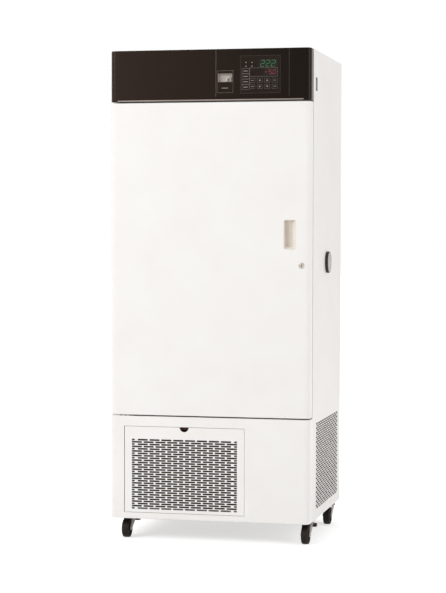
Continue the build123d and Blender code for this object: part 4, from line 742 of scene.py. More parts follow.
# The grille: slotted sheet with returns, and a half-round notch at the top for a finger.
grille = punched(at(GRILLE_X[0], FRONT + 1.2, GRILLE_Z[0], FACING_FRONT), white_coat,
                 (GRILLE_X[1] - GRILLE_X[0], GRILLE_Z[1] - GRILLE_Z[0]), 25.5, 11.2, 9, 31, 1.2)
returns = bordered(GRILLE_X, GRILLE_Z, [(0, 1.2), (0, 13.7), (1.2, 13.7), (1.2, 1.2)])
notch = lathe([(-8, 16), (20, 16)], "Y", (-87.3, FRONT, GRILLE_Z[1]), 40)
# Inside, the grille takes the dark backing: painted shade.
backed_in_painted_shade(piece("slotted_grille", "grille_panel", [
    (cut(mesh, notch), white_coat) for mesh in (grille, returns)], "grille_panel"), (0, 1, 0))

# The cabinet's sides and back, cut with the same slot punch as the grille.
PORT = (0.0, 11.8, 970.0)
VENT_START, VENT_LENGTH = FRONT + 128, 461.5
height = TOP - SKIRT
side_size = (BACK - CARCASS, height)
left_side = punched(at(-SIDE + SHEET, BACK, SKIRT, FACING_LEFT), side_coat_painted_shade, side_size,
                    BACK - (VENT_START + VENT_LENGTH), 35.0, 11, 38)
right_side = punched(at(SIDE - SHEET, CARCASS, SKIRT, FACING_RIGHT), side_coat_painted_shade, side_size,
                     VENT_START - CARCASS, 35.0, 11, 38)
right_side = cut(right_side, lathe([(SIDE - 5, 28.3), (SIDE + 5, 28.3)], "X", PORT))
back_sheet = punched(at(SIDE - SHEET, BACK - SHEET, SKIRT, FACING_BACK), side_coat_painted_shade,
                     (2 * SIDE - 2 * SHEET, height), 275.5, 108.0, 9, 15)
top_sheet = soft_box((-SIDE + SHEET, SIDE - SHEET), (CARCASS, BACK - SHEET), (TOP - SHEET, TOP), 0.6)
# The sheets take the darker side coat, painted shade, and inside the dark backing, painted shade too.
for name, sheet, node, inwards in (
    ("left_side_sheet", left_side, "left_side_panel", (1, 0, 0)),
    ("right_side_sheet", right_side, "right_side_panel", (-1, 0, 0)),
    ("back_sheet", back_sheet, "back_panel", (0, -1, 0)),
    ("top_sheet", top_sheet, "top_panel", (0, 0, -1)),
):
    backed_in_painted_shade(piece(name, "cabinet", [(sheet, side_coat_painted_shade)], node), inwards)


# Control panel.

KEY_X = (151.0, 177.0, 203.0, 229.0)
KEY_Z = (1595.3, 1574.5)
KEY_SIZE = (20.0, 16.5)
KEY_NAMES = ("menu_key", "left_key", "up_key", "enter_key",
             "timer_key", "right_key", "down_key", "start_key")
FILM_X, FILM_Z = (108.3, 248.6), (1551.7, 1680.4)
BREAKER_X, BREAKER_Z = (26.8, 84.8), (1553.4, 1631.0)
WINDOW_X, WINDOW_Z = (30.8, 80.8), (1591.3, 1620.3)
# Depths from the cabinet's front: the film's face, the lens on it, and the caps of the keys.
FILM_FACE, LENS_FACE, KEY_FACE = -0.2, -0.26, -0.75
INK = 0.04


def key_outline(x, z, grow, radius):
    """The rounded shape of a key, or of its hole."""
    return rounded_outline(about(x, KEY_SIZE[0] / 2 + grow), about(z, KEY_SIZE[1] / 2 + grow), radius, 4)


def framed(xs, zs, width, depth):
    """A printed rectangle: a thin line round a field."""
    return bordered(xs, zs, [(0, depth), (0, depth - INK), (width, depth - INK), (width, depth)])


def segments(value, x, z, width, height):
    """The lit bars of one seven-segment digit, leaning a little to the right."""
    bar, lean = 0.1 * width, 0.12
    lit = {"0": "abcdef", "2": "abdeg", "5": "acdfg", "-": "g"}[value]
    mid, top = height / 2, height
    lines = {"a": ((0, top), (width, top)), "b": ((width, mid), (width, top)),
             "c": ((width, 0), (width, mid)), "d": ((0, 0), (width, 0)), "e": ((0, 0), (0, mid)),
             "f": ((0, mid), (0, top)), "g": ((0, mid), (width, mid))}
    made = []
    for name in lit:
        (u0, v0), (u1, v1) = lines[name]
        if v0 == v1:
            shape = [(u0 + 0.3, v0), (u0 + bar, v0 - bar / 2), (u1 - bar, v0 - bar / 2), (u1 - 0.3, v0),
                     (u1 - bar, v0 + bar / 2), (u0 + bar, v0 + bar / 2)]
        else:
            shape = [(u0, v0 + 0.3), (u0 + bar / 2, v0 + bar), (u0 + bar / 2, v1 - bar), (u0, v1 - 0.3),
                     (u0 - bar / 2, v1 - bar), (u0 - bar / 2, v0 + bar)]
        made.append(front_plate([(x + u + lean * v, z + v) for u, v in shape], LENS_FACE, 0.08))
    return made


def control_panel():
    """The plate in the header's bay, its printed film, the displays and the lamps."""
    base = front_plate(rounded_outline(shrunk(BAY_X, 1.6), shrunk(BAY_Z, 0.3), 0.8), 2, 2, 0.4)
    film = front_plate(rounded_outline(FILM_X, FILM_Z, 3), 0, 0.2)
    holes = [front_plate(key_outline(x, z, 0.35, 2.6), 4, 8) for z in KEY_Z for x in KEY_X]
    opening = front_box(shrunk(BREAKER_X, 2.8), (-3, 5), shrunk(BREAKER_Z, 2.8))
    # Pale strips in the seams at the bay's two ends: painted highlights where the plate's edges catch the
    # light.
    seam_highlights = [front_box((x, x + width), (0.1, 2), shrunk(BAY_Z, 1), 0.2)
             for x, width in ((BAY_X[0] + 0.4, 0.7), (BAY_X[1] - 1.5, 1.2))]
    ink = [framed((141.7, 238.6), (1608.6, 1638.2), 0.5, FILM_FACE)]
    for row in range(4):
        low = 1563.9 + 18.4 * row
        ink.append(framed((114.4, 140.4), (low, low + 17.6), 0.5, FILM_FACE))
        word = rounded_outline((119.5, 135.3), (low + 7.6, low + 10.0), 0.6, 2)
        ink.append(front_plate(word, FILM_FACE, INK))
    lenses = [front_plate(rounded_outline(xs, zs, 2), FILM_FACE, 0.06)
              for xs, zs in (((172, 240), (1640.6, 1667.5)), ((190, 237), (1611.2, 1635.6)))]
    green, red = [], []
    for number in range(3):
        green += segments("222"[number], 179.5 + 18.6 * number, 1642.6, 12.4, 20.5)
        red += segments("-50"[number], 194.6 + 13.4 * number, 1616.6, 8.6, 14.6)
    green.append(front_plate(arc((215.6, 1643.4), 1.3, 0, 330, 11), LENS_FACE, 0.08))
    red.append(front_plate(arc((219.2, 1617.2), 1.0, 0, 330, 11), LENS_FACE, 0.08))
    lamps = [lathe([(-0.5, 0.0), (-0.45, 1.0), (-0.25, 1.7), (0, 1.9)], "Y", (x, FRONT + FILM_FACE, z), 20)
             for x, z in ((128.7, 1657.2), (128.7, 1643.9), (149.6, 1656.8), (149.6, 1643.9))]
    parts = [(cut(base, *holes, opening), header_enamel), (cut(film, *holes), control_film),
             (framed(FILM_X, FILM_Z, 0.7, FILM_FACE), film_rim), (seam_highlights[0], film_ink), (seam_highlights[1], film_rim)]
    for meshes, material in ((ink, film_ink), (lenses, display_lens), (green, green_light),
                             (red, red_light), (lamps, lamp_lens)):
        parts += [(mesh, material) for mesh in meshes]
    piece("control_plate", "cabinet", parts, "control_panel")


def control_keys():
    """Eight keys with rounded caps. Arrows and bars stand for their printed marks."""
    for number, name in enumerate(KEY_NAMES):
        x, z = KEY_X[number % 4], KEY_Z[number // 4]
        cap = front_plate(key_outline(x, z, 0, 2.4), 3, 3.75, 0.5)
        flange = front_box(about(x, 11.2), (2.3, 6), about(z, 9.45), 0.4)
        mark = {
            "left_key": [(x - 4, z), (x + 2.4, z - 3.4), (x + 2.4, z + 3.4)],
            "right_key": [(x + 4, z), (x - 2.4, z + 3.4), (x - 2.4, z - 3.4)],
            "up_key": [(x, z + 3.6), (x - 3.8, z - 2.4), (x + 3.8, z - 2.4)],
            "down_key": [(x, z - 3.6), (x + 3.8, z + 2.4), (x - 3.8, z + 2.4)],
        }.get(name, rounded_outline(about(x, 5), about(z, 0.8), 0.7, 2))
        rim = framed(about(x, 9.2), about(z, 7.4), 0.4, KEY_FACE)
        piece(name + "_cap", name, [(cap, control_film), (flange, control_film), (rim, film_ink),
                                    (front_plate(mark, KEY_FACE, INK), film_ink)], name)


def breaker():
    """The breaker: a bezel with a recessed window, and the lever in it."""
    bezel = front_plate(rounded_outline(BREAKER_X, BREAKER_Z, 2.5), 0, 1.5, 0.6)
    body = front_box(shrunk(BREAKER_X, 3), (-0.2, 45), shrunk(BREAKER_Z, 3), 0.6)
    window = front_box(WINDOW_X, (-5, 9), WINDOW_Z)
    groove = front_box((29.8, 81.8), (-2, -1.2), (1557.5, 1586.5))
    inner = front_plate(rounded_outline((30.6, 81.0), (1558.3, 1585.7), 1.5), -1.15, 0.35, 0.15)
    label = front_plate(rounded_outline((44, 66), (1569.2, 1571.6), 0.5), -1.5, 0.05)
    edge = framed(shrunk(BREAKER_X, 0.8), shrunk(BREAKER_Z, 0.8), 0.5, -1.48)
    lining = cut(front_box((31.0, 80.6), (-1.2, 9.4), (1591.5, 1620.1)),
                 front_box((31.5, 80.1), (-5, 8.9), (1592.0, 1619.6)))
    ears = [front_box(xs, (0.5, 9.2), (1595.4, 1607.6), 0.8) for xs in ((57.4, 62.9), (72.7, 76.4))]
    axis = (0, FRONT + 4.5, 1605.8)
    pin = lathe([(58.5, 1.5), (77.1, 1.5)], "X", axis, 16)
    piece("breaker_frame", "cabinet", [
        (cut(bezel, window, groove), control_film), (cut(body, window), black_poly),
        (inner, control_film), (edge, film_ink), (lining, window_nylon), (label, film_ink), (pin, zinc),
        (ears[0], grey_nylon), (ears[1], window_nylon)], "breaker_body")
    hub = lathe([(63.3, 1.6), (63.3, 3.9), (63.6, 4.2), (72.0, 4.2), (72.3, 3.9), (72.3, 1.6),
                 (63.3, 1.6)], "X", axis, 32)
    toggle = soft_box((-4.3, 4.3), (-8.3, -2.5), (-2.1, 2.1), 0.8, 3)
    rib = soft_box((-3.3, 3.3), (-8.45, -7.9), (-1.5, -1.1), 0.1, 1)
    grip, _ = copies(rib, grey_nylon, 4, (0, 0, 0.85))
    throw = at(67.8, *axis[1:], Matrix.Rotation(math.radians(-25), 4, "X"))
    piece("breaker_toggle", "breaker_lever",
          [(hub, window_nylon), *[(moved(mesh, throw), grey_nylon) for mesh in (toggle, grip)]],
          "breaker_lever")


control_panel()
control_keys()
breaker()


# On the door and the side.


def handle_cup():
    """The moulded finger cup: one skin from its rim over the ramps to its floor."""
    ramps = (1.0, 13.0, 9.0, 2.5)

    def ring(grow, depth, radius, share=0.0):
        left, right, low, high = [share * ramp for ramp in ramps]
        us = (HANDLE_X[0] - grow + left, HANDLE_X[1] + grow - right)
        vs = (HANDLE_Z[0] - grow + low, HANDLE_Z[1] + grow - high)
        return [(u, FRONT + depth, v) for u, v in rounded_outline(us, vs, radius, 6)]

    rings = [ring(3, 22.8, 4), ring(3, 1.3, 4), ring(-0.1, 1.3, 4), ring(-0.1, 0.5, 4),
             ring(-0.3, 0.1, 4), ring(-0.6, 0.0, 4), ring(-1.0, 0.1, 3.6), ring(-1.3, 0.6, 3.4)]
    for share, depth in ((0.06, 1.8), (0.3, 6.2), (0.6, 12.0), (0.86, 17.2), (0.95, 18.8), (1.0, 19.6)):
        rings.append(ring(-1.3, depth, 3.4, share))
    rings.append(ring(-2.4, 20.0, 3.0, 1.0))
    cup = skin(rings, True, True, True)
    # The deep faces of the cup take the darker taupe: painted shade.
    painted(piece("finger_cup", "door", [(cup, cream_abs)], "handle_cup"), taupe_abs_painted_shade,
            lambda face: face.center.y > (FRONT + 15) * MM and face.normal.y < -0.5)


def lock():
    """The cylinder lock: a turned rose and barrel, and the core with keyway and cam."""
    rose = lathe([(-1.3, 7.1), (-1.5, 7.4), (-1.5, 9.2), (-1.2, 10.1), (-0.5, 10.5), (0, 10.5), (0, 9.5),
                  (29, 9.5), (29, 7.1), (-1.3, 7.1)], "Y", LOCK)
    piece("lock_rose", "door", [(rose, nickel)], "lock_barrel")
    core = lathe([(-1.4, 5.6), (-1.5, 6.4), (-1.2, 7.0), (29.3, 7.0)], "Y", LOCK)
    keyway = front_box(about(LOCK_X, 0.8), (-3.5, 7), about(LOCK_Z, 4.5))
    ward = front_box((LOCK_X - 1.7, LOCK_X), (-3.5, 7), (LOCK_Z + 1, LOCK_Z + 2.2))
    # A dark block at the back of the keyway: painted shade.
    keyway_shade = front_box((LOCK_X - 1.8, LOCK_X + 0.9), (6.2, 7.2), about(LOCK_Z, 4.6))
    cam = front_box(about(LOCK_X, 5.5), (29.3, 32.3), (LOCK_Z - 7, LOCK_Z + 16), 1.2)
    nut = lathe([(32.3, 3.4), (34.0, 3.4)], "Y", LOCK, 6)
    piece("lock_key_core", "lock_core",
          [(cut(core, keyway, ward), nickel), (keyway_shade, painted_shade_dark), (cam, zinc), (nut, zinc)], "lock_core")


def hinges():
    """The two hinge plates with their pins: the lower one notched and with two flat screws,
    the upper one with a washer."""
    notches = [soft_box(about(x, 5), (FRONT, -309), (430, 440)) for x in (-316, -298, -283)]
    lower, upper = [soft_box((-350, -278), (-319.5, CARCASS), zs, 0.8) for zs in ((434, 437), (1528, 1531))]
    pins = [lathe([(low, 3.2), (low + 0.8, 4.0), (high - 0.8, 4.0), (high, 3.2)], "Z", HINGE, 24)
            for low, high in ((437, 455), (1505, 1528))]
    washer = lathe([(1523.3, 7.5), (1523.7, 8), (1527.6, 8), (1528, 7.5)], "Z", HINGE, 32)
    head = lathe([(436.9, 4.0), (437.3, 3.9), (437.75, 2.8), (437.85, 1.6), (437.5, 1.2)], "Z",
                 (-303, -300, 0), 20)
    piece("hinge_plates", "cabinet", [
        (cut(lower, *notches), white_coat), (pins[0], nickel), (upper, header_enamel), (pins[1], nickel),
        (washer, zinc), copies(head, zinc, 2, (17, 0, 0))], "hinge_brackets")


def port():
    """The cable port: a black collar with its sleeve, and the grey plug with a grip."""
    outer = SIDE + 11
    collar = lathe([(CHAMBER, 26), (CHAMBER, 28), (SIDE, 28), (SIDE, 38.0), (SIDE + 0.6, 38.5),
                    (outer - 1.6, 38.2), (outer - 0.4, 37.4), (outer, 36.6), (outer, 35.9),
                    (outer - 5.3, 35.8), (outer - 5.3, 26), (CHAMBER, 26)], "X", PORT, 64)
    piece("port_ring", "cabinet", [(collar, black_poly)], "port_collar")
    plug = lathe([(CHAMBER, 22), (CHAMBER + 1.5, 25.2), (CHAMBER + 5, 25.7), (outer - 5, 25.7),
                  (outer - 5, 35.0), (outer - 4.6, 35.5), (outer - 0.8, 35.5), (outer - 0.1, 34.8),
                  (outer - 0.1, 31.0), (outer - 0.9, 30.2), (outer - 1.6, 27.5), (outer - 1.6, 12.0),
                  (outer - 0.4, 10.8), (outer - 0.1, 9.8), (outer - 0.1, 4.0), (outer - 0.6, 3.2),
                  (outer - 0.6, 0)], "X", PORT, 64)
    rib = soft_box((outer - 1.9, outer - 0.5), (-1.1, 1.1), (12, 27), 0.4)
    piece("port_stopper", "port_plug", [(plug, grey_nylon), around(rib, grey_nylon, 6, (1, 0, 0), PORT)],
          "port_plug")


def terminal_cover():
    """The small cover over the outside terminals: a tray with two screws and contacts."""
    y, z = -213.5, 1588.0
    rim = plate(rounded_outline(about(y, 12), about(z, 23), 2.5), at(SIDE, 0, 0, FACING_RIGHT), 1.2, 0.5)
    body = soft_box((SIDE - 3, SIDE), about(y, 10.2), about(z, 21.2), 0.3)
    recess = soft_box((SIDE + 0.5, SIDE + 3), about(y, 7.5), about(z, 13.5))
    contact = lathe([(0.5, 2.6), (0.85, 2.4), (1.05, 1.2), (0.9, 0.0)], "X", (SIDE, y - 3.6, z - 9), 16)
    screw = lathe([(1.1, 2.0), (1.19, 1.6), (0.9, 0.7), (0.8, 0)], "X", (SIDE, y, z - 18.5), 16)
    piece("terminal_tray", "cabinet", [
        (cut(rim, recess), black_poly), (body, black_poly),
        copies(contact, zinc, 2, (0, 7.2, 0), 3, (0, 0, 9)), copies(screw, zinc, 2, (0, 0, 37))],
        "terminal_cover")


def back_fittings():
    """The mains gland and the screws of the back."""
    inlet = (240, BACK, 164)
    nut = lathe([(0, 8), (0, 11.2), (0.5, 12), (4, 12), (4.5, 11.2), (4.5, 8)], "Y", inlet, 6)
    sleeve = lathe([(0.2, 4.8), (0.2, 9.0), (6.8, 9.0), (8.2, 8.2), (9, 6.6), (9, 5.2), (8.6, 4.8),
                    (0.2, 4.8)], "Y", inlet, 32)
    piece("mains_gland", "cabinet", [(mesh, black_poly) for mesh in (nut, sleeve)], "power_gland")
    head = lathe([(0, 4.5), (0.8, 4.3), (1.5, 3.2), (1.8, 1.6), (1.8, 0)], "Y", (0, BACK, 0), 20)
    cross = [soft_box((-a, a), (BACK + 1.0, BACK + 3), (-b, b)) for a, b in ((2.2, 0.5), (0.5, 2.2))]
    head = moved(cut(head, *cross), at(-339.5, 0, 102))
    piece("back_screws", "cabinet", [copies(head, zinc, 2, (679, 0, 0), 5, (0, 0, 393.75))], "screws")


handle_cup()
lock()
hinges()
port()
terminal_cover()
back_fittings()


# Casters.

CASTER_X, CASTER_Y = {"left": -306.0, "right": 334.0}, {"front": -239.5, "rear": 211.5}
TRAIL, WHEEL, HALF_WHEEL = 34.0, 32.5, 12.2
FORK_IN, FORK_OUT = 13.0, 15.5
PEDAL_Y, PEDAL_Z = 19.0, 59.0


def hull(points):
    """The outline that a stretched band would take round the points."""
    order = geometry.convex_hull_2d([Vector(p) for p in points])
    return [points[i] for i in order]


def caster_fork(name, x, y, braked):
    """The pressed fork: two tapered legs, a domed crown, ball race, axle bolt and nut."""
    axle = (0, -TRAIL, WHEEL)
    foot = arc((-TRAIL, WHEEL), 8.5, 0, 345, 23)
    heel = arc((PEDAL_Y, PEDAL_Z), 5, 0, 330, 11)
    leg = hull(foot + heel + [(-19, 71), (19, 71), (-19, 67), (19, 67)])
    parts = []
    for sign, facing, outline in ((-1, FACING_LEFT, [(-u, v) for u, v in leg][::-1]), (1, FACING_RIGHT, leg)):
        leg_plate = plate(outline, at(sign * FORK_IN, 0, 0, facing), FORK_OUT - FORK_IN, 0.9)
        ring = lathe([(sign * FORK_OUT, 6.6), (sign * (FORK_OUT + 0.5), 6.2), (sign * (FORK_OUT + 0.5), 3)],
                     "X", axle, 24)
        parts += [(leg_plate, fork_steel), (ring, zinc)]
    crown = lathe([(67, 5.1), (67, 22.6), (67.6, 23.6), (68.8, 24), (70.2, 23.6), (71.2, 22), (72.4, 16.5),
                   (74, 14), (76, 13), (82.6, 13), (83.5, 12.2), (83.7, 5.1), (67, 5.1)], "Z", (0, 0, 0))
    bolt = lathe([(-17.9, 3.4), (-17.9, 4), (17.9, 4), (17.9, 3.4)], "X", axle, 24)
    parts += [(crown, fork_steel), (bolt, zinc)]
    if braked:
        parts.append((lathe([(-13, 2), (13, 2)], "X", (0, PEDAL_Y, PEDAL_Z), 16), zinc))
    piece(name + "_pressed_fork", name, [(moved(mesh, at(x, y, 0)), look) for mesh, look in parts], name)


def caster_wheel(name, x, y):
    """The wheel: a crowned tread, a ribbed web and a hub."""
    half, web = HALF_WHEEL, HALF_WHEEL - 3.0
    axle = (x, y - TRAIL, WHEEL)
    right = [(web, 24.2), (web, 10.4), (half - 0.3, 10.0), (half, 5.0), (half - 0.4, 4.1)]
    tread_line = [(half, 25.0), (half, 28.2), (half - 0.5, 30.0), (half - 1.6, 31.4), (half - 3.6, 32.2),
                  (half - 6.5, 32.5)]
    left = [(-u, r) for u, r in right][::-1]
    profile = [*left, *[(-u, r) for u, r in tread_line], *tread_line[::-1], *right, left[0]]
    parts = [(lathe(profile, "X", axle, 64), tread)]
    for sign in (-1, 1):
        spoke = soft_box(sorted((sign * web, sign * (half - 0.6))), (-1, 1), (9.5, 24.6), 0.4)
        parts.append(around(spoke, tread, 6, (1, 0, 0), axle))
    piece(name + "_turned_wheel", name, parts, name)


def brake_pedal(name, x, y):
    """The foot brake: a hub, an arm and a wide ribbed pad."""
    hub = lathe([(-12.7, 2.1), (-12.7, 3.5), (12.7, 3.5), (12.7, 2.1), (-12.7, 2.1)], "X", (0, 0, 0), 24)
    arm = soft_box((-12.5, 12.5), (2.8, 24), (-3.3, 3.3), 1.0)
    pad = soft_box((-24, 24), (22, 46), (-8.5, 5.3), 4.0, 4)
    ribs, _ = copies(soft_box((-20, 20), (26.4, 27.6), (4.9, 5.5), 0.2), black_poly, 5, (0, 3.5, 0))
    place = at(x, y + PEDAL_Y, PEDAL_Z, Matrix.Rotation(math.radians(-6), 4, "X"))
    piece(name + "_treadle", name,
          [(moved(mesh, place), black_poly) for mesh in (hub, arm, pad, ribs)], name)


races = []
for end, y in CASTER_Y.items():
    for hand, x in CASTER_X.items():
        name = f"{end}_{hand}"
        caster_fork(name + "_fork", x, y, end == "front")
        caster_wheel(name + "_wheel", x, y)
        if end == "front":
            brake_pedal(name + "_brake", x, y)
        races.append((lathe([(64.5, 5), (64.6, 7.6), (66.7, 8), (66.7, 5), (84, 5), (84, 15.4), (84.6, 16),
                             (87.4, 16), (88, 15.4), (88, 0)], "Z", (x, y, 0), 32), zinc))
piece("caster_races", "cabinet", races, "caster_stems")


# Inside the cabinet.

SHELF_LOWS = (713.333, 948.333, 1183.333)
DUCT_FAN, MACHINE_FAN = (0, 1310.5), (-90, 240)
COIL_X, COIL_Z = (-292.0, 112.0), (PAN_TOP, 390.0)


def frame_rings(xs, zs, profile, radius):
    """Rounded rectangles one inside the other. profile gives (inset, y) from ring to ring."""
    made = []
    for inset, y in profile:
        outline = rounded_outline(shrunk(xs, inset), shrunk(zs, inset), max(radius - inset, 0.6))
        made.append([(u, y, v) for u, v in outline])
    return made


def chamber():
    """The stainless chamber, its corners coved, with the flange that the door seals on."""
    back = DUCT_BACK
    box = ((-CHAMBER, CHAMBER), (CHAMBER_LOW, CHAMBER_HIGH))
    rings = frame_rings(*box, [(8, back), (2.4, back - 2.4), (0, back - 8), (0, CARCASS + 2),
                               (-0.6, CARCASS + 0.5), (-2, CARCASS)], 10)
    rings += frame_rings((-353.5, 353.5), (425.5, 1535.5), [(0, CARCASS), (0, CARCASS + 1)], 2)
    rings += frame_rings(*box, [(-2.2, CARCASS + 1), (-1, CARCASS + 2.2), (-1, back - 7), (1.6, back - 1.4),
                                (8, back + 1)], 10)
    hole = lathe([(CHAMBER - 5, 28.3), (CHAMBER + 5, 28.3)], "X", PORT)
    shell = cut(skin(rings, True, True, True), hole)
    piece("chamber_shell", "cabinet", [(shell, stainless)], "chamber_liner")


def shelf(number, z):
    """A wire shelf: a bent frame, close wires, and a bar welded under their middle."""
    front, back, half = -231.0, 184.0, 287.5
    frame_wire = rod([(-half, front, z), (half, front, z), (half, back, z), (-half, back, z)], 3.5, 14,
                     wire_steel, 14, True)
    step = 2 * half / 28
    wire = rod([(0, front, z), (0, back, z)], 1.75, 1, wire_steel, 8)
    brace = rod([(-half, -23, z - 0.6), (half, -23, z - 0.6)], 2.6, 1, wire_steel, 10)
    piece(f"wire_shelf_{number}", "cabinet", [
        (frame_wire, wire_steel), copies(moved(wire, at(-half + step, 0, 0)), wire_steel, 27, (step, 0, 0)),
        (brace, wire_steel)], f"shelf_{number}")


def coil(name, node, xs, ys, zs, pitch, look):
    """A fin coil: close fins between two end plates, with copper tubes and their bends."""
    depth, rise = sum(ys) / 2, (zs[1] - zs[0]) / 8
    reach = rise / 2
    low = zs[0] + reach
    fin = soft_box((xs[0] + 3, xs[0] + 3.4), shrunk(ys, 1), shrunk(zs, 2))
    ends = [(soft_box((x, x + 1.5), ys, zs, 0.4), zinc) for x in (xs[0], xs[1] - 1.5)]
    tube = rod([(xs[0] + 1, depth, low), (xs[1], depth, low)], 4.0, 1, copper)
    bend = rod([(xs[1] - 1, depth, low), (xs[1] + reach, depth, low), (xs[1] + reach, depth, low + rise),
                (xs[1] - 1, depth, low + rise)], 4.0, reach - 0.5, copper)
    piece(name, "cabinet", [
        copies(fin, look, int((xs[1] - xs[0] - 6) / pitch), (pitch, 0, 0)), *ends,
        copies(tube, copper, 8, (0, 0, rise)), copies(bend, copper, 4, (0, 0, 2 * rise))], node)


def compressor():
    """The welded pot: two pressed shells with a seam, on a foot plate with rubber feet."""
    x, y = 215.0, 95.0
    pot = lathe([(109, 0), (109, 40), (113, 58), (122, 72), (136, 79.5), (150, 81), (197, 81),
                 (198, 82), (203, 82), (204, 81), (252, 80.5), (270, 76), (284, 64), (292, 46), (295, 24),
                 (295, 0)], "Z", (x, y, 0), 64)
    base = plate(rounded_outline(about(x, 88), about(y, 88), 16), at(0, 0, 106), 3, 0.8)
    foot = lathe([(90, 10), (90, 13), (94, 13), (95, 11), (99, 11), (100, 13), (105.5, 13), (106, 9)],
                 "Z", (x - 75, y - 75, 0), 24)
    bolt = lathe([(109, 7), (109.6, 7), (110, 6), (114, 6), (114.4, 5)], "Z", (x - 75, y - 75, 0), 6)
    box = soft_box(about(x, 24), (y - 86, y - 60), (170, 226), 5, 3)
    cap = soft_box(about(x, 20), (y - 88, y - 85), (175, 221), 1.2)
    stub = rod([(x, y - 60, 202), (x, y - 110, 202)], 4, 1, copper)
    plug = lathe([(-110, 2.6), (-104, 4.6), (-100, 5.2), (-92, 5.2)], "Y", (x, y, 202), 20)
    feet, bolts = [copies(mesh, look, 2, (150, 0, 0), 2, (0, 150, 0))
                   for mesh, look in ((foot, tread), (bolt, zinc))]
    piece("compressor_pot", "cabinet", [
        (pot, dip_enamel), (base, dip_enamel), feet, bolts, (box, black_poly), (cap, black_poly),
        (stub, copper), (plug, copper)], "compressor")


def door_inside():
    """The pressed inner pan of the door and the hollow magnetic seal round it."""
    rings = frame_rings((-353.8, 353.8), (439.2, 1521.8), [(0, DOOR_BACK - 1), (0, DOOR_BACK)], 2.5)
    bulge = [(-2.5, 0), (-0.8, 0.7), (0, 2.5), (0.6, 11), (1.8, 13.6), (4.5, 15), (54, 15), (55, 14.9),
             (59, 14.3), (60, 14.2)]
    rings += frame_rings((-285, 285), (495.5, 1465.5), [(inset, DOOR_BACK + rise) for inset, rise in bulge],
                         12)
    piece("door_inner_pan", "door", [(skin(rings, True, True, True), stainless)], "door_liner")
    section = [(4, -277.5), (4, -275.9), (1.2, -275.2), (0.2, -273.9), (0, -272.6), (0.6, -271.0),
               (2.4, -270.0), (9.4, -269.9), (10, -270.3), (10.6, -269.9), (17.6, -270.0), (19.4, -271.0),
               (20, -272.6), (19.8, -273.9), (18.8, -275.2), (16, -275.9), (16, -277.5)]
    rings = frame_rings((-329, 329), (451, 1510), section, 12)
    piece("magnetic_seal", "door", [(skin(rings + [rings[0]]), seal_rubber)], "door_gasket")


def fan_motor(y_back, x, z):
    """A shaded-pole motor: its body, and the heads of the four bolts that hold its end cap."""
    body = lathe([(-28, 6), (-28, 34), (-26, 41), (-23, 44.2), (-21, 45), (-3, 45), (-1, 44), (0, 41),
                  (0, 6)], "Y", (x, y_back, z))
    head = lathe([(-28.2, 3.2), (-26.4, 3.4)], "Y", (26, y_back, 0), 6)
    return [(body, dip_enamel), around(head, zinc, 4, (0, 1, 0), (x, 0, z))]


def duct_panel():
    """The stainless cover over fan and coils: a lower sheet with the outlets, an upper one
    with the fan's inlet, and a return at each side."""
    half, seam = CHAMBER - 0.5, 1181.0
    low, high = CHAMBER_LOW + 0.5, CHAMBER_HIGH - 0.5
    punch = {"Slot Length": 60.0, "Slot Height": 8.0, "Pitch Across": 80.0, "Pitch Up": 16.0,
             "End Slot": 20.0}
    parts = []
    for zs, left, bottom, columns, rows in (((low, seam), half - 230, 59.5, 6, 3),
                                            ((seam, high), half - 110, 57.5, 3, 9)):
        sheet = punched(at(-half, DUCT_FRONT + 1, zs[0], FACING_FRONT), stainless,
                        (2 * half, zs[1] - zs[0]), left, bottom, columns, rows, 1.0, punch)
        parts.append((sheet, stainless))
    for x in (-half, half - 1):
        parts.append((soft_box((x, x + 1), (DUCT_FRONT + 1, DUCT_BACK), (low, high), 0.3), stainless))
    screw = lathe([(-1.6, 0), (-1.6, 2.0), (-1.2, 3.4), (-0.3, 4.2), (0.2, 4.2)], "Y",
                  (-half + 18, DUCT_FRONT, low + 30), 16)
    parts.append(copies(screw, zinc, 2, (2 * half - 36, 0, 0), 4, (0, 0, (high - low - 60) / 3)))
    piece("duct_cover", "cabinet", parts, "duct_panel")


def axial_fan(node, centre, y_front, depth, radius, hub, look):
    """An axial fan: a domed hub and five pitched blades that widen towards their tips."""
    rings = []
    for step in range(8):
        share = step / 7
        r = hub - 1.5 + (radius - hub + 1.5) * share
        chord = hub * 1.05 + (0.6 * radius - hub * 1.05) * share
        if step == 7:
            chord *= 0.86
        rise = (depth - 4) * (1 - 0.42 * share)
        over, under = [], []
        for i in range(9):
            s = i / 8 - 0.5
            turn, y = s * chord / r, -s * rise + 0.16 * depth * (1 - 4 * s * s)
            half = 0.7 if 0 < i < 8 else 0.21
            over.append((r * math.sin(turn), y - half, r * math.cos(turn)))
            under.insert(0, (r * math.sin(turn), y + half, r * math.cos(turn)))
        rings.append(over + under)
    x, z = centre
    blades = around(skin(rings, True, True, True), look, 5, (0, 1, 0), (x, y_front + depth / 2, z))
    boss = lathe([(1, 4.2), (0, 5.5), (0, 8.5), (1.2, 10), (1.6, hub * 0.7), (2.6, hub * 0.9), (5, hub),
                  (depth - 0.6, hub), (depth, hub - 0.6), (depth, hub - 2), (6, hub - 2.4), (4.5, hub - 5),
                  (4.2, 9), (depth - 2, 8), (depth - 2, 4.2), (1, 4.2)], "Y", (x, y_front, z))
    piece(node + "_rotor", node, [blades, (boss, look)], node)


def heating_rod():
    """The sheathed heating rod: one bent tube with a threaded gland at each end."""
    y, z, half = DUCT_FRONT + 30, 1195.5, 170
    tube = rod([(-half, DUCT_BACK, z), (-half, y, z), (half, y, z), (half, DUCT_BACK, z)], 4.0, 15,
               wire_steel, 16, bend_steps=10)
    nut = lathe([(-6, 5), (-6, 7.4), (-5.4, 8), (0, 8), (0, 5)], "Y", (-half, DUCT_BACK, z), 6)
    piece("heating_rod", "cabinet", [(tube, wire_steel), copies(nut, nickel, 2, (2 * half, 0, 0))],
          "heater")


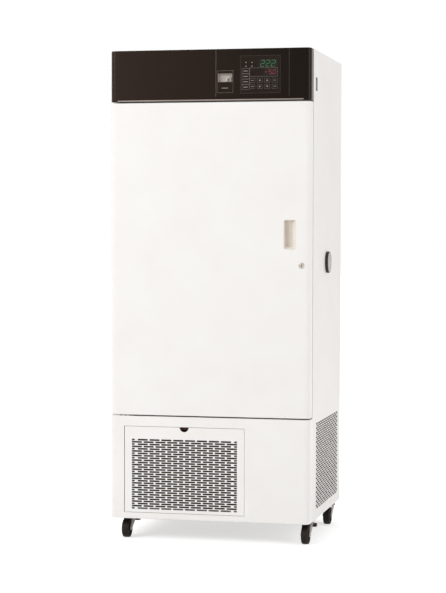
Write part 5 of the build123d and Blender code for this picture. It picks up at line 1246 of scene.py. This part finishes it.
def shroud():
    """The sheet box round the condenser fan: a rolled inlet ring, and a strap for the motor."""
    ys, wall = (-250.5, -184.5), 2.0
    inlet = (MACHINE_FAN[0], ys[0], MACHINE_FAN[1])
    box = cut(soft_box(COIL_X, ys, COIL_Z, 0.8),
              soft_box(shrunk(COIL_X, wall), (ys[0] + wall, ys[1] + 5), shrunk(COIL_Z, wall)),
              lathe([(-5, 119), (5, 119)], "Y", inlet, 64))
    lip = lathe([(0.2, 121), (0.2, 119.4), (1.4, 118.3), (9, 118.0), (9, 119.2), (2.4, 119.6), (1.8, 121),
                 (0.2, 121)], "Y", inlet, 64)
    strap = soft_box((-120, -60), (ys[1] - wall, ys[1]), shrunk(COIL_Z, 0.5), 0.6)
    piece("fan_box", "cabinet", [(mesh, galvanised) for mesh in (box, lip, strap)], "fan_shroud")


def bottom_pan():
    """The folded tray under the machine, with pressed stiffening beads."""
    xs, ys = (-SIDE + SHEET, SIDE - SHEET), (FRONT + CORNER + SHEET, BACK - SHEET)
    tray = cut(soft_box(xs, ys, (88, 110), 1.2), soft_box(shrunk(xs, 2), shrunk(ys, 2), (PAN_TOP, 115)))
    bead = soft_box(about(-256, 9), about(150, 170), (89.6, 92.4), 1.2, 3)
    piece("machine_tray", "cabinet", [(tray, galvanised), copies(bead, galvanised, 4, (96, 0, 0))],
          "base_pan")


def uprights_and_clips():
    """Four slotted channels, and a bent clip in each of them under every shelf."""
    low, high, depth, sheet = CHAMBER_LOW + 30, CHAMBER_HIGH - 30, 6.0, 1.2
    step = (high - low) / 12
    channels, clips = [], []
    for sign in (-1, 1):
        wall, face, inner = sign * (CHAMBER - 0.05), sign * (CHAMBER - depth), sign * sheet
        for y in (-194.5, 122.5):
            a, b = about(y, 9.0)
            outline = [(wall, a), (face + inner * 0.6, a), (face, a + sheet), (face, b - sheet),
                       (face + inner * 0.6, b), (wall, b), (wall, b - sheet), (face + inner, b - sheet),
                       (face + inner, a + sheet), (wall, a + sheet)]
            channel = plate(outline, at(0, 0, low), high - low)
            slot = soft_box(about(face, 3), about(y, 4.5), about(low + step / 2, 2))
            channels.append((cut(channel, copies(slot, painted_shade_dark, 12, (0, 0, step))[0]), stainless))
            for top in SHELF_LOWS:
                hook = [(0, -14), (2, -14), (2, -3.2), (3.2, -2), (12, -2), (12, -0.4), (11.6, 0), (1.2, 0),
                        (0, -1.2)]
                shape = [(face - sign * u, top + v) for u, v in hook]
                clips.append((plate(shape, at(0, y + 7, 0, FACING_FRONT), 14), zinc))
    piece("slotted_uprights", "cabinet", channels, "shelf_uprights")
    piece("bent_clips", "cabinet", clips, "shelf_clips")


def shaft(ys, fan):
    """The shaft of a fan: a turned pin with a chamfered front end."""
    return lathe([(ys[0], 3.2), (ys[0] + 1, 4), (ys[1], 4)], "Y", (fan[0], 0, fan[1]), 20), nickel


chamber()
for number, low in enumerate(SHELF_LOWS):
    shelf(number + 1, low + 3.5)
uprights_and_clips()
duct_panel()
axial_fan("circulation_fan", DUCT_FAN, 220.0, 18.0, 85.0, 24.0, fin_stock)
axial_fan("condenser_fan", MACHINE_FAN, -245.5, 26.0, 116.0, 34.0, black_poly)
heating_rod()
shroud()
bottom_pan()
coil("warm_coil", "condenser", COIL_X, (-292.5, -250.5), COIL_Z, 3.2, brown_fins)
coil("cold_coil", "evaporator", (-220.0, 220.0), (DUCT_FRONT + 15, DUCT_BACK), (960.5, 1150.5), 4.0,
     fin_stock)
compressor()
door_inside()
piece("fan_motor_pair", "cabinet", [
    *fan_motor(DUCT_BACK, *DUCT_FAN), *fan_motor(-186.5, *MACHINE_FAN),
    shaft((219, 268), DUCT_FAN), shaft((-245, -210), MACHINE_FAN)], "fan_motors")


# Camera, light and floor.

# The camera stands where the photograph was taken from: turned 12.83 degrees to the
# right of the cabinet's front, a little above its middle, tilted slightly down.
camera = bpy.data.cameras.new("camera")
camera.lens = 111.33
camera.sensor_width = 36.0
camera.clip_end = 100.0
seen_from = shown("camera", camera)
seen_from.matrix_world = (
    Matrix.Translation((1.4531, -6.4833, 1.0719))
    @ Matrix.Rotation(math.radians(12.83), 4, "Z")
    @ Matrix.Rotation(math.radians(90 - 1.97), 4, "X")
    @ Matrix.Rotation(math.radians(0.15), 4, "Z")
)
bpy.context.scene.camera = seen_from

# Three soft square lamps, sizes in metres, pointed at the middle of the cabinet.
AIM = Vector((0, 0, 0.9))
for name, place, watts in (("key", (-4.2, -5.0, 3.8), 215), ("fill", (5.4, -1.6, 2.6), 90),
                           ("behind", (-1.5, 4.8, 3.0), 90)):
    light = bpy.data.lights.new(name, "AREA")
    light.size = 3.0
    light.energy = watts
    lamp = shown(name, light)
    lamp.location = place
    lamp.rotation_euler = (AIM - Vector(place)).to_track_quat("-Z", "Y").to_euler()


def seen(tree):
    """1 for a ray from the camera, a mirroring or a clear surface, and 0 for the others."""
    path = add(tree, "ShaderNodeLightPath").node.outputs
    passed = add(tree, "ShaderNodeMath", (path["Is Glossy Ray"], path["Is Transmission Ray"]),
                 operation="MAXIMUM")
    return add(tree, "ShaderNodeMath", (path["Is Camera Ray"], passed), operation="MAXIMUM")


# The room: white where it is seen, and about half as bright where it lights the cabinet.
world = bpy.data.worlds.new("studio")
bpy.context.scene.world = world
world.use_nodes = True
tree = world.node_tree
tree.nodes.clear()
soft, white = [add(tree, "ShaderNodeBackground", {"Color": (1, 1, 1, 1), "Strength": strength})
               for strength in (0.55, 1.0)]
add(tree, "ShaderNodeOutputWorld", (add(tree, "ShaderNodeMixShader", (seen(tree), soft, white)),))

# Seamless paper: pale and matt. A glow that only seen rays meet lifts it to white, more so
# further off where the lamps don't reach, and the soft shadow under the cabinet stays.
paper = bpy.data.materials.new("studio_paper")
paper.use_nodes = True
tree = paper.node_tree
tree.nodes.clear()
matt = add(tree, "ShaderNodeBsdfDiffuse", {"Color": (0.8, 0.8, 0.8, 1)})
place = add(tree, "ShaderNodeTexCoord", output="Object")
distance = add(tree, "ShaderNodeVectorMath", (place,), "Value", operation="LENGTH")
glow = add(tree, "ShaderNodeMapRange", {
    "Value": distance, "From Min": 0.6, "From Max": 6.0, "To Min": 0.56, "To Max": 0.8})
strength = add(tree, "ShaderNodeMath", (seen(tree), glow), operation="MULTIPLY")
lift = add(tree, "ShaderNodeEmission", {"Color": (1, 1, 1, 1), "Strength": strength})
add(tree, "ShaderNodeOutputMaterial", (add(tree, "ShaderNodeAddShader", (matt, lift)),))
ground = bmesh.new()
bmesh.ops.create_grid(ground, x_segments=2, y_segments=2, size=40)
floor = shown("floor", mesh_of(ground, False))
floor.data.materials.append(paper)

# The nodes that stay.

keeps = {
    "white_powder_coat": white_coat, "zinc_plated_steel": zinc, "black_header_enamel": header_enamel,
    "anodised_trim": anodised_painted_reflection, "stainless_steel": stainless, "rigid_foam": foam,
    "white_gasket": seal_rubber, "cream_plastic": cream_abs, "grey_plastic": grey_nylon,
    "black_plastic": black_poly, "key_plastic": control_film, "nickel_plated_brass": nickel,
    "bare_aluminium": fin_stock, "black_machine_enamel": dip_enamel, "black_tread": tread,
}
for name, slot in SLOTS.items():
    node = frame["nodes"][name]
    node.data.materials.clear()
    node.data.materials.append(keeps[slot])

bpy.context.scene.view_settings.view_transform = "Standard"
